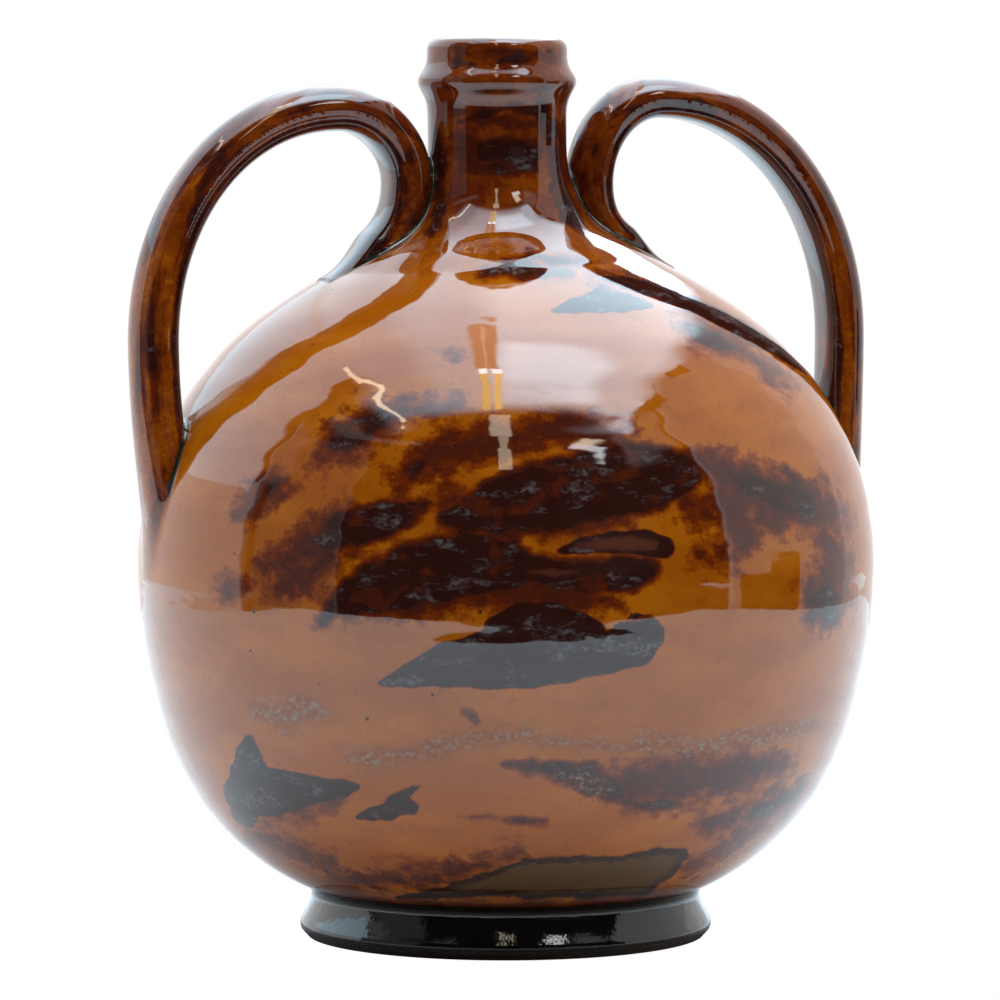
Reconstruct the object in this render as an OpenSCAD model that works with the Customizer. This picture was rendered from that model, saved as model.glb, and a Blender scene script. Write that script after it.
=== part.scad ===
// Globular pilgrim flask in glazed stoneware, with two tall strap handles.
// Five fired pieces: the thrown body, the turned foot ring, the luted neck
// and the two pulled handles. Millimetres, +Z up. The origin is the centre
// of the foot's resting face, and the handles stand to -X and +X.

/* [Body] */
// Radius of the belly at its widest turn
belly_r = 94.5; // [90:0.1:100]
// How far the centre of the haunch arc, above the widest turn, stands off the axis
haunch_offset = 16.7; // [14:0.1:19]
// Angle through which the haunch arc turns before the flatter shoulder
haunch_turn = 53.8; // [51:0.2:56]
// Radius of the long arc that forms the shoulder
shoulder_arc_r = 232; // [200:2:260]
// Radius of the arc that forms the side below the widest turn
side_arc_r = 137.6; // [130:0.2:145]
// Angle through which the side arc turns before it rounds under
side_turn = 19.4; // [17:0.2:22]
// Radius of the arc that rounds the side into the underside
under_arc_r = 63.7; // [60:0.1:67]
// Thickness of the thrown wall
wall = 6; // [4.5:0.1:7.5]

/* [Foot ring] */
// Height at which the foot carries the underside of the body
foot_h = 8.1; // [7:0.1:10]
// Radius of the foot's waist, where it meets the body
foot_waist_r = 49.8; // [47:0.1:53]
// How far the foot's flared lip stands out from its waist
foot_flare = 3.1; // [2:0.1:3.6]
// Radius of the rounding of the flared lip
foot_lip_round = 2.4; // [1.8:0.1:2.8]
// Radius of the hollow between the lip and the waist
foot_waist_round = 2.6; // [2:0.1:3]
// Width of the chamfer round the resting face
foot_chamfer = 0.4; // [0.3:0.1:0.8]
// Thickness of the ring at its waist, outside the hollow turned out under it
foot_wall = 6.3; // [5:0.1:9]

/* [Neck] */
// Radius of the neck at its waist
neck_r = 17.8; // [16.5:0.1:19.5]
// Radius of the bore, from the mouth down to the body
bore_r = 12.5; // [10:0.1:13.5]
// Radius of the flare from the neck's waist out to the shoulder
flare_r = 30; // [26:1:34]
// How far the flare runs in under the shoulder's surface
flare_bite = 1.2; // [0.8:0.1:2]
// Height of the neck from its waist to the rim
neck_h = 27.7; // [24:0.5:32]
// Shift of the neck off the body's axis, as it was luted on by hand
neck_shift = -2.3; // [-3.5:0.1:0]
// How much wider the rim is than the waist, on the radius
rim_spread = 0.2; // [0:0.1:1]
// Radius of the rounding at the outside of the rim
rim_round = 3; // [2:0.1:3.2]
// Radius of the rounding at the inside of the rim
mouth_round = 1.6; // [1:0.1:2]

/* [Collar bead] */
// Height of the bead's crest below the rim
bead_drop = 11; // [9:0.5:13]
// How far the bead's crest stands out from the neck
bead_proud = 2.4; // [1.5:0.1:3]
// Spread of the bead's upper flank
bead_spread_up = 3.2; // [2.5:0.1:3.6]
// Spread of the bead's lower flank
bead_spread_down = 3.9; // [3:0.1:4.5]

/* [Strap handles] */
// Width of the strap, from edge to edge
strap_w = 18.5; // [16:0.5:21]
// Squareness of the strap's section, 2 for an ellipse
strap_squareness = 2.6; // [2.2:0.1:3]
// Depth of the groove along each edge of the strap
groove_depth = 0.9; // [0.4:0.1:1.2]
// Width of the strap's tail, where it is thumbed out on the belly
tail_w = 26; // [22:0.5:28]
// Width of the strap's root, where it is thumbed out on the shoulder
root_w = 25; // [20:0.5:27]
// How much thicker the strap is at its root, as a factor
root_swell = 1.1; // [1:0.05:1.3]
// Run of the arch from the neck's waist out to its crown
crown_run = 25; // [22:0.5:27]
// Height at which the strap leaves the neck's flank, below the rim
flank_drop = 37; // [35:0.5:40]
// Height of the strap's outermost point, above the widest turn
outermost_rise = 57; // [50:1:64]
// Reach of the strap's root on the shoulder, from the neck's surface
root_reach = 27; // [20:0.5:30]
// Height of the tail's tip, below the widest turn
tail_drop = 3; // [0:0.5:6]

/* [Left handle] */
// Thickness of the left strap, from its outer back to its inner face
left_t = 12; // [10:0.1:13]
// Gap between the left strap and the neck's waist, above where they meet
left_neck_gap = 0; // [-0.8:0.1:1.2]
// How far the left strap's back stands out past the belly
left_proud = 4.5; // [3:0.1:6]
// Drop of the left crown's centre line below the rim
left_crown_drop = 17.8; // [14:0.1:20]

/* [Right handle] */
// Thickness of the right strap, from its outer back to its inner face
right_t = 11; // [10:0.1:13]
// Gap between the right strap and the neck's waist, above where they meet
right_neck_gap = 1; // [-0.8:0.1:1.2]
// How far the right strap's back stands out past the belly
right_proud = 2.5; // [2:0.1:6]
// Drop of the right crown's centre line below the rim
right_crown_drop = 14.9; // [13:0.1:20]

/* [Hidden] */

amber = "#8a4a1c";
treacle = "#5e2c12";
dark_foot = "#241712";

// Profile of the body, as four arcs that run into each other
haunch_arc_r = belly_r - haunch_offset;
belly_z = foot_h + under_arc_r * (1 - sin(side_turn)) + side_arc_r * sin(side_turn);
haunch_centre = [haunch_offset, belly_z];
shoulder_centre = haunch_centre
                - (shoulder_arc_r - haunch_arc_r) * [cos(haunch_turn), sin(haunch_turn)];
side_centre = [belly_r - side_arc_r, belly_z];
under_centre = side_centre
             + (side_arc_r - under_arc_r) * [cos(side_turn), -sin(side_turn)];

// The neck's flare is an arc that crosses the shoulder at a slight angle
waist_z = shoulder_centre[1]
        + sqrt(pow(shoulder_arc_r + flare_r - flare_bite, 2)
               - pow(neck_r + flare_r - shoulder_centre[0], 2));
rim_z = waist_z + neck_h;
bead_z = rim_z - bead_drop;
flare_turn = 62;

// How far the strap's centre line runs straight on from each of its joints,
// as [distance out, height] or as a share of the span
root_pull = [-11, 5.5];
flank_pull = [0, -15];
back_pull = [0, -22];
tail_pull = [1.2, 20];
arch_share = 0.55;
crown_share = 0.58;

// How deep the root, as a share of the thickness, and the tail are sunk, and
// how the root thins and narrows to its tip, as shares
root_sink = 0.2;
tail_sink = 0.6;
tip_thinning = 0.75;
tip_narrowing = 0.5;

// Where the grooves lie in the strap's section, and how wide they spread,
// in degrees of the section
groove_angle = 105;
groove_spread = 11;

// Steps of the computed outlines
arc_step = 3;
section_points = 24;
root_rings = 16;
arch_rings = 14;
drop_rings = 22;
tail_rings = 20;
$fn = 120;

// Points along an arc of radius r round the centre c, from angle a0 to a1
function arc(c, r, a0, a1, step = arc_step) =
    let (n = max(2, ceil(abs(a1 - a0) / step)))
    [for (i = [0:n]) let (a = a0 + (a1 - a0) * i / n) c + r * [cos(a), sin(a)]];

// Height of the shoulder's outer surface at the radius r
function shoulder_height(r) =
    shoulder_centre[1] + sqrt(pow(shoulder_arc_r, 2) - pow(r - shoulder_centre[0], 2));

// Outline of the body drawn in by the depth d, from the underside to the top
function body_outline(d) =
    let (top = acos(-shoulder_centre[0] / (shoulder_arc_r - d)))
    concat(
        [[0, under_centre[1] - under_arc_r + d]],
        arc(under_centre, under_arc_r - d, -90, -side_turn),
        arc(side_centre, side_arc_r - d, -side_turn, 0),
        arc(haunch_centre, haunch_arc_r - d, 0, haunch_turn),
        arc(shoulder_centre, shoulder_arc_r - d, haunch_turn, top, 1.5)
    );

// The body as a solid of its outer surface, drawn in by the depth d
module body_form(d = 0) {
    rotate_extrude()
        polygon(body_outline(d));
}

// Radius of the neck at the height z above the waist, with its bead
function neck_radius(z) =
    let (
        up = z - bead_z,
        spread = up > 0 ? bead_spread_up : bead_spread_down,
        lift = rim_spread * max(0, z - waist_z) / neck_h
    )
    neck_r + lift + bead_proud * exp(-pow(up / spread, 2));

// The neck's outer surface as a solid, with its flare and its rounded rim
module neck_form() {
    flare_centre = [neck_r + flare_r, waist_z];
    bead_top = rim_z - rim_round;
    bead_steps = 26;
    rim_outer = neck_radius(bead_top);
    translate([neck_shift, 0, 0])
        rotate_extrude()
            polygon(concat(
                [[0, belly_z]],
                [[flare_centre[0] - flare_r * cos(flare_turn), belly_z]],
                arc(flare_centre, flare_r, 180 + flare_turn, 180, 4),
                [for (i = [1:bead_steps])
                    let (z = waist_z + (bead_top - waist_z) * i / bead_steps)
                    [neck_radius(z), z]],
                arc([rim_outer - rim_round, bead_top], rim_round, 15, 90, 15),
                [[0, rim_z]]
            ));
}

// Point and direction on a cubic curve through four control points
function curve(p, t) =
    pow(1 - t, 3) * p[0] + 3 * pow(1 - t, 2) * t * p[1]
    + 3 * (1 - t) * pow(t, 2) * p[2] + pow(t, 3) * p[3];
function heading(p, t) =
    let (d = pow(1 - t, 2) * (p[1] - p[0]) + 2 * (1 - t) * t * (p[2] - p[1])
           + pow(t, 2) * (p[3] - p[2]))
    d / norm(d);

// A smooth rise from 0 to 1 as t goes from a to b
function ease(t, a, b) =
    let (s = min(1, max(0, (t - a) / (b - a))))
    s * s * (3 - 2 * s);

// Outline of the strap's section: a rounded oblong with a groove along each
// edge. The first axis points out of the handle's loop, the second along Y.
function strap_section(t, w, groove) =
    [for (i = [0:section_points - 1])
        let (
            a = 360 * i / section_points,
            power = 2 / strap_squareness,
            off_groove = min(abs(a - groove_angle), abs(360 - a - groove_angle)),
            cut = groove * exp(-pow(off_groove / groove_spread, 2)),
            x = sign(cos(a)) * pow(abs(cos(a)), power) * t / 2,
            y = sign(sin(a)) * pow(abs(sin(a)), power) * (w / 2 - cut)
        )
        [x, y]];

// The strap's centre line in four curves, as [distance out, height]:
// up from the shoulder to the neck's flank, over the neck side of the arch,
// down to the outermost point, and on to the tail on the belly.
function strap_curves(thick, waist_x, gap, crown_z, proud) =
    let (
        root_x = waist_x + root_reach,
        root = [root_x, shoulder_height(root_x) - thick * root_sink],
        flank = [waist_x + gap + thick / 2, rim_z - flank_drop],
        crown = [waist_x + crown_run, crown_z],
        outermost = [belly_r + proud - thick / 2, belly_z + outermost_rise],
        tail = [belly_r - tail_sink - thick / 2, belly_z - tail_drop],
        arch = (crown - flank) * arch_share,
        drop = crown[1] - outermost[1],
        out = outermost[0] - crown[0]
    )
    [
        [root, root + root_pull, flank + flank_pull, flank],
        [flank, flank + [0, arch[1]], crown - [arch[0], 0], crown],
        [crown, crown + [out * crown_share, 0],
         outermost + [0, drop * arch_share], outermost],
        [outermost, outermost + back_pull, tail + tail_pull, tail]
    ];

// Rings of the strap, each as [point, heading, thickness, width, groove]
function strap_rings(thick, curves) =
    concat(
        [for (i = [0:root_rings - 1])
            let (t = i / root_rings, tip = 1 - ease(t, 0, 0.5), fan = 1 - ease(t, 0.1, 1))
            [curve(curves[0], t), heading(curves[0], t),
             thick * (1 + (root_swell - 1) * fan - tip_thinning * tip),
             (strap_w + (root_w - strap_w) * fan) * (1 - tip_narrowing * tip),
             groove_depth * (1 - fan)]],
        [for (i = [0:arch_rings - 1])
            let (t = i / arch_rings)
            [curve(curves[1], t), heading(curves[1], t), thick, strap_w, groove_depth]],
        [for (i = [0:drop_rings - 1])
            let (t = i / drop_rings)
            [curve(curves[2], t), heading(curves[2], t), thick, strap_w, groove_depth]],
        [for (i = [0:tail_rings])
            let (t = i / tail_rings, fan = ease(t, 0.15, 0.8))
            [curve(curves[3], t), heading(curves[3], t),
             thick, strap_w + (tail_w - strap_w) * fan, groove_depth * (1 - fan)]]
    );

// A strap swept along its rings, on the side that side points to
module strap(side, rings) {
    n = section_points;
    last = len(rings) - 1;
    points = [
        for (r = rings)
            let (p = r[0], h = r[1], away = [-h[1], h[0]])
            for (q = strap_section(r[2], r[3], r[4]))
                [side * (p[0] + away[0] * q[0]), q[1], p[1] + away[1] * q[0]]
    ];
    faces = concat(
        [[for (i = [0:n - 1]) i]],
        [[for (i = [n - 1:-1:0]) last * n + i]],
        [for (k = [0:last - 1]) for (i = [0:n - 1])
            let (j = (i + 1) % n, a = k * n, b = a + n)
            each [[a + i, b + i, b + j], [a + i, b + j, a + j]]]
    );
    turned_faces = [for (f = faces) [for (i = [len(f) - 1:-1:0]) f[i]]];
    polyhedron(points, side > 0 ? faces : turned_faces);
}

// One handle, seated on the neck and on the body where it meets them
module handle(side, thick, gap, crown_drop, proud) {
    waist_x = neck_r + side * neck_shift;
    curves = strap_curves(thick, waist_x, gap, rim_z - crown_drop, proud);
    difference() {
        strap(side, strap_rings(thick, curves));
        body_form();
        neck_form();
    }
}

// Thrown body: a hollow shell with the throat under the neck
module body() {
    color(amber)
        difference() {
            body_form();
            body_form(wall);
            translate([neck_shift, 0, belly_z])
                cylinder(r = bore_r, h = rim_z - belly_z);
        }
}

// Turned foot ring, hollow underneath, seated on the body's underside
module foot_ring() {
    chamfer_angle = 45;
    hollow_r = foot_waist_r - foot_wall;
    lip_centre = [
        foot_waist_r + foot_flare - foot_lip_round,
        foot_chamfer + foot_lip_round * sin(chamfer_angle)
    ];
    reach = foot_lip_round + foot_waist_round;
    offset = foot_waist_r + foot_waist_round - lip_centre[0];
    lip_turn = acos(offset / reach);
    waist_centre = lip_centre + reach * [cos(lip_turn), sin(lip_turn)];
    chamfer_r = lip_centre[0] + foot_lip_round * cos(chamfer_angle) - foot_chamfer;
    color(dark_foot)
        difference() {
            rotate_extrude()
                polygon(concat(
                    [[hollow_r, 0], [chamfer_r, 0]],
                    arc(lip_centre, foot_lip_round, -chamfer_angle, lip_turn, 10),
                    arc(waist_centre, foot_waist_round, 180 + lip_turn, 180, 10),
                    [[foot_waist_r, under_centre[1]], [hollow_r, under_centre[1]]]
                ));
            body_form();
        }
}

// Neck with its collar bead, bored through, seated on the shoulder
module neck() {
    color(treacle)
        difference() {
            neck_form();
            body_form();
            translate([neck_shift, 0, belly_z])
                cylinder(r = bore_r, h = rim_z);
            translate([neck_shift, 0, 0])
                rotate_extrude()
                    polygon(concat(
                        [[0, rim_z + 1]],
                        [[bore_r + mouth_round, rim_z + 1]],
                        arc([bore_r + mouth_round, rim_z - mouth_round], mouth_round, 90, 180, 15),
                        [[0, rim_z - mouth_round]]
                    ));
        }
}

module handle_left() {
    color(treacle)
        handle(-1, left_t, left_neck_gap, left_crown_drop, left_proud);
}

module handle_right() {
    color(treacle)
        handle(1, right_t, right_neck_gap, right_crown_drop, right_proud);
}

body();
foot_ring();
neck();
handle_left();
handle_right();
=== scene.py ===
"""Looks of a globular stoneware flask in a streaked treacle glaze.

The outer form is given once as signed distances, in metres. Every piece is a mesh
settled on that form, so the straps, the neck and the foot run into the body through
small fillets, as luted clay does under its glaze. The streaks of the glaze are drawn
as outlines on two plates, one before the flask and one behind it.
"""

import logging
import math
from collections.abc import Callable
from dataclasses import dataclass, field
from enum import Enum

import bpy
import numpy as np
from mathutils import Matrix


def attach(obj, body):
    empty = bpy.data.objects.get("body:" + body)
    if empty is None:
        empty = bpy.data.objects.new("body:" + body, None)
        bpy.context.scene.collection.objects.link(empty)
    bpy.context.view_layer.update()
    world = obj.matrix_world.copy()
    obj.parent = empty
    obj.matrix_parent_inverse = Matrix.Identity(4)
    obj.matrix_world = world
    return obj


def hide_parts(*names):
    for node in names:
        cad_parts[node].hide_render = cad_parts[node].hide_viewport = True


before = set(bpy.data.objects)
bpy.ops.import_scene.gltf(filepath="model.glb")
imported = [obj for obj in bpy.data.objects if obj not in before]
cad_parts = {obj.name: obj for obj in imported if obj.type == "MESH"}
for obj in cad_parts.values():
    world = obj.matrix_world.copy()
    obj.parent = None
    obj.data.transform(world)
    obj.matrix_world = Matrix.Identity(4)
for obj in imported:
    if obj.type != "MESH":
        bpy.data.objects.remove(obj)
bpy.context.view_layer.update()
LOG = logging.getLogger("flask")

Array = np.ndarray
Colour = tuple[float, float, float, float]
Outline = tuple[tuple[float, float], ...]
Field = Callable[[Array], Array]


# Signed distances


def smooth_union(first: Array, second: Array, blend: float) -> Array:
    """Joins two distance fields with a fillet.

    Args:
        first: Distances to the first form.
        second: Distances to the second form.
        blend: Difference of the distances over which they run together.

    Returns:
        Distances to the joined form.
    """
    share = np.clip(0.5 + 0.5 * (second - first) / blend, 0.0, 1.0)
    return second * (1 - share) + first * share - blend * share * (1 - share)


def ease(value: Array, start: float, end: float) -> Array:
    """Smooth rise from 0 at start to 1 at end."""
    share = np.clip((value - start) / (end - start), 0.0, 1.0)
    return share * share * (3 - 2 * share)


def outline_distance(points: Array, outline: Array) -> Array:
    """Signed distance from points to a closed outline, negative inside.

    Args:
        points: The points, as rows of two coordinates.
        outline: The corners of the outline, as rows of two coordinates.

    Returns:
        One distance for each point.
    """
    nearest = np.full(len(points), np.inf)
    inside = np.zeros(len(points), bool)
    for start, end in zip(outline, np.roll(outline, -1, axis=0)):
        edge = end - start
        offset = points - start
        share = np.clip(offset @ edge / (edge @ edge + 1e-12), 0.0, 1.0)
        nearest = np.minimum(nearest, np.sum((offset - share[:, None] * edge) ** 2, axis=1))
        crosses = (start[1] > points[:, 1]) != (end[1] > points[:, 1])
        rise = edge[1] if abs(edge[1]) > 1e-12 else 1e-12
        inside ^= crosses & (points[:, 0] < start[0] + edge[0] * (points[:, 1] - start[1]) / rise)
    return np.where(inside, -1.0, 1.0) * np.sqrt(nearest)


def gradient(points: Array, form: Field, step: float = 2e-5) -> Array:
    """Gradient of a distance field at points, by central differences."""
    slopes = [
        (form(points + shift) - form(points - shift)) / (2 * step)
        for shift in np.eye(3) * step
    ]
    return np.stack(slopes, axis=1)


def settle(points: Array, form: Field, rounds: int = 4) -> Array:
    """Moves points on to the surface of a form.

    Args:
        points: Points near the surface.
        form: Distance field of the form.
        rounds: Newton steps to take.

    Returns:
        The points on the surface.
    """
    for _ in range(rounds):
        slope = gradient(points, form)
        size = np.maximum(np.sum(slope**2, axis=1), 0.05)
        points = points - slope * (form(points) / size)[:, None]
    return points


def arc_points(centre: tuple[float, float], radius: float, start: float, end: float,
               count: int) -> Array:
    """Points along an arc between two angles in degrees."""
    turn = np.radians(np.linspace(start, end, count))
    return np.stack([centre[0] + radius * np.cos(turn), centre[1] + radius * np.sin(turn)], 1)


@dataclass(frozen=True)
class BodyForm:
    """Outer form of the thrown body, four arcs turned round the axis.

    Attributes:
        belly_r: Radius at the widest turn.
        haunch_offset: Distance of the haunch arc's centre from the axis.
        haunch_turn: Angle of the haunch arc in degrees.
        shoulder_arc_r: Radius of the shoulder arc.
        side_arc_r: Radius of the arc below the widest turn.
        side_turn: Angle of that arc in degrees.
        under_arc_r: Radius of the arc into the underside.
        foot_h: Height of the underside.
        wobble: Depth of the uneven turns left by throwing.
    """

    belly_r: float = 0.0945
    haunch_offset: float = 0.0167
    haunch_turn: float = 53.8
    shoulder_arc_r: float = 0.232
    side_arc_r: float = 0.1376
    side_turn: float = 19.4
    under_arc_r: float = 0.0637
    foot_h: float = 0.0081
    wobble: float = 0.00012
    dip: float = 0.0009
    dip_end_r: float = 0.060
    dip_full_r: float = 0.034

    @property
    def haunch_arc_r(self) -> float:
        """Radius of the haunch arc."""
        return self.belly_r - self.haunch_offset

    @property
    def belly_z(self) -> float:
        """Height of the widest turn."""
        drop = math.sin(math.radians(self.side_turn))
        return self.foot_h + self.under_arc_r * (1 - drop) + self.side_arc_r * drop

    @property
    def haunch_centre(self) -> tuple[float, float]:
        """Centre of the haunch arc."""
        return self.haunch_offset, self.belly_z

    @property
    def shoulder_centre(self) -> tuple[float, float]:
        """Centre of the shoulder arc."""
        turn = math.radians(self.haunch_turn)
        reach = self.shoulder_arc_r - self.haunch_arc_r
        return (self.haunch_offset - reach * math.cos(turn),
                self.belly_z - reach * math.sin(turn))

    @property
    def side_centre(self) -> tuple[float, float]:
        """Centre of the side arc."""
        return self.belly_r - self.side_arc_r, self.belly_z

    @property
    def under_centre(self) -> tuple[float, float]:
        """Centre of the arc into the underside."""
        turn = math.radians(self.side_turn)
        reach = self.side_arc_r - self.under_arc_r
        return (self.side_centre[0] + reach * math.cos(turn),
                self.belly_z - reach * math.sin(turn))

    def outline_distance(self, radius: Array, height: Array) -> Array:
        """Distance to the outline in a half plane through the axis."""
        def to_arc(centre: tuple[float, float], arc_r: float) -> Array:
            return np.hypot(radius - centre[0], height - centre[1]) - arc_r

        haunch = np.degrees(np.arctan2(height - self.belly_z, radius - self.haunch_offset))
        side = np.degrees(np.arctan2(height - self.belly_z, radius - self.side_centre[0]))
        upper = np.where(haunch <= self.haunch_turn,
                         to_arc(self.haunch_centre, self.haunch_arc_r),
                         to_arc(self.shoulder_centre, self.shoulder_arc_r))
        lower = np.where(side >= -self.side_turn,
                         to_arc(self.side_centre, self.side_arc_r),
                         to_arc(self.under_centre, self.under_arc_r))
        flat = np.where(radius < self.under_centre[0], self.foot_h - height, lower)
        return np.where(height >= self.belly_z, upper, flat)

    def unevenness(self, points: Array) -> Array:
        """Faint uneven turns of the thrown wall, in metres."""
        x, y, z = points.T
        turns = (0.5 * np.sin(2 * np.pi * z / 0.021 + 3.0 * x / 0.1 + 1.0)
                 + 0.3 * np.sin(2 * np.pi * z / 0.0083 + 2.1 * y / 0.05)
                 + 0.5 * np.sin(2 * np.pi * (x + 0.4 * z) / 0.074)
                 + 0.5 * np.sin(2 * np.pi * (y - 0.5 * z) / 0.093 + 0.7))
        return self.wobble * turns * ease(0.19 - z, 0.0, 0.05) * ease(z, 0.01, 0.03)

    def distance(self, points: Array) -> Array:
        """Signed distance from points to the body's outer surface."""
        radius = np.hypot(points[:, 0], points[:, 1])
        flat = self.outline_distance(radius, points[:, 2])
        sunk = self.dip * ease(self.dip_end_r - radius, 0, self.dip_end_r - self.dip_full_r)
        sunk *= ease(points[:, 2], 0.12, 0.14)
        return flat - self.unevenness(points) + sunk

    def outline(self, step: float) -> Array:
        """Points of the outline from the underside to the top, about a step apart."""
        def count(radius: float, degrees: float) -> int:
            return max(4, int(radius * math.radians(degrees) / step))

        top = math.degrees(math.acos((0.0125 - self.shoulder_centre[0]) / self.shoulder_arc_r))
        parts = [
            arc_points(self.under_centre, self.under_arc_r, -90, -self.side_turn,
                       count(self.under_arc_r, 70)),
            arc_points(self.side_centre, self.side_arc_r, -self.side_turn, 0,
                       count(self.side_arc_r, self.side_turn))[1:],
            arc_points(self.haunch_centre, self.haunch_arc_r, 0, self.haunch_turn,
                       count(self.haunch_arc_r, self.haunch_turn))[1:],
            arc_points(self.shoulder_centre, self.shoulder_arc_r, self.haunch_turn, top,
                       count(self.shoulder_arc_r, top - self.haunch_turn))[1:],
        ]
        return np.concatenate(parts)


@dataclass(frozen=True)
class NeckForm:
    """Outer form of the neck, its bead and its rim, turned round a shifted axis."""

    body: BodyForm
    neck_r: float = 0.0178
    bore_r: float = 0.0125
    flare_r: float = 0.030
    flare_bite: float = 0.0012
    neck_h: float = 0.0277
    shift: float = -0.0023
    rim_spread: float = 0.0002
    rim_round: float = 0.003
    mouth_round: float = 0.0016
    bead_drop: float = 0.011
    bead_proud: float = 0.0024
    bead_spread_up: float = 0.0032
    bead_spread_down: float = 0.0039
    blend: float = 0.003
    skirt_rise: float = 60.0
    wobble: float = 0.00008

    @property
    def waist_z(self) -> float:
        """Height of the neck's waist, where its flare begins."""
        centre = self.body.shoulder_centre
        reach = self.body.shoulder_arc_r + self.flare_r - self.flare_bite
        return centre[1] + math.sqrt(reach**2 - (self.neck_r + self.flare_r - centre[0]) ** 2)

    @property
    def rim_z(self) -> float:
        """Height of the rim."""
        return self.waist_z + self.neck_h

    @property
    def flare_end_r(self) -> float:
        """Radius at which the flare lies deepest under the shoulder."""
        lean = (self.neck_r + self.flare_r - self.body.shoulder_centre[0]) / (
            self.body.shoulder_arc_r + self.flare_r - self.flare_bite)
        return self.neck_r + self.flare_r * (1 - lean)

    def radius(self, height: Array) -> Array:
        """Radius of the neck at heights above its waist."""
        up = height - (self.rim_z - self.bead_drop)
        spread = np.where(up > 0, self.bead_spread_up, self.bead_spread_down)
        lift = self.rim_spread * np.maximum(0, height - self.waist_z) / self.neck_h
        return self.neck_r + lift + self.bead_proud * np.exp(-((up / spread) ** 2))

    def own_distance(self, points: Array) -> Array:
        """Signed distance to the neck alone, near its flank and its flare."""
        reach = np.hypot(points[:, 0] - self.shift, points[:, 1])
        height = points[:, 2]
        slope = (self.radius(height + 1e-5) - self.radius(height - 1e-5)) / 2e-5
        flank = (reach - self.radius(height)) / np.sqrt(1 + slope**2)
        flank -= self.wobble * (np.sin(points[:, 0] / 0.0041 + 95 * height + 1.3)
                                + 0.5 * np.sin(points[:, 0] / 0.0015 - 210 * height))
        away = np.hypot(reach - self.neck_r - self.flare_r, height - self.waist_z)
        past = np.maximum(reach - self.flare_end_r, 0)
        flare = self.flare_r - away + self.skirt_rise * past**2
        return np.where(height > self.waist_z, flank, flare)

    def distance(self, points: Array) -> Array:
        """Signed distance to the body and the neck, joined by a fillet."""
        return smooth_union(self.body.distance(points), self.own_distance(points), self.blend)


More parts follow.
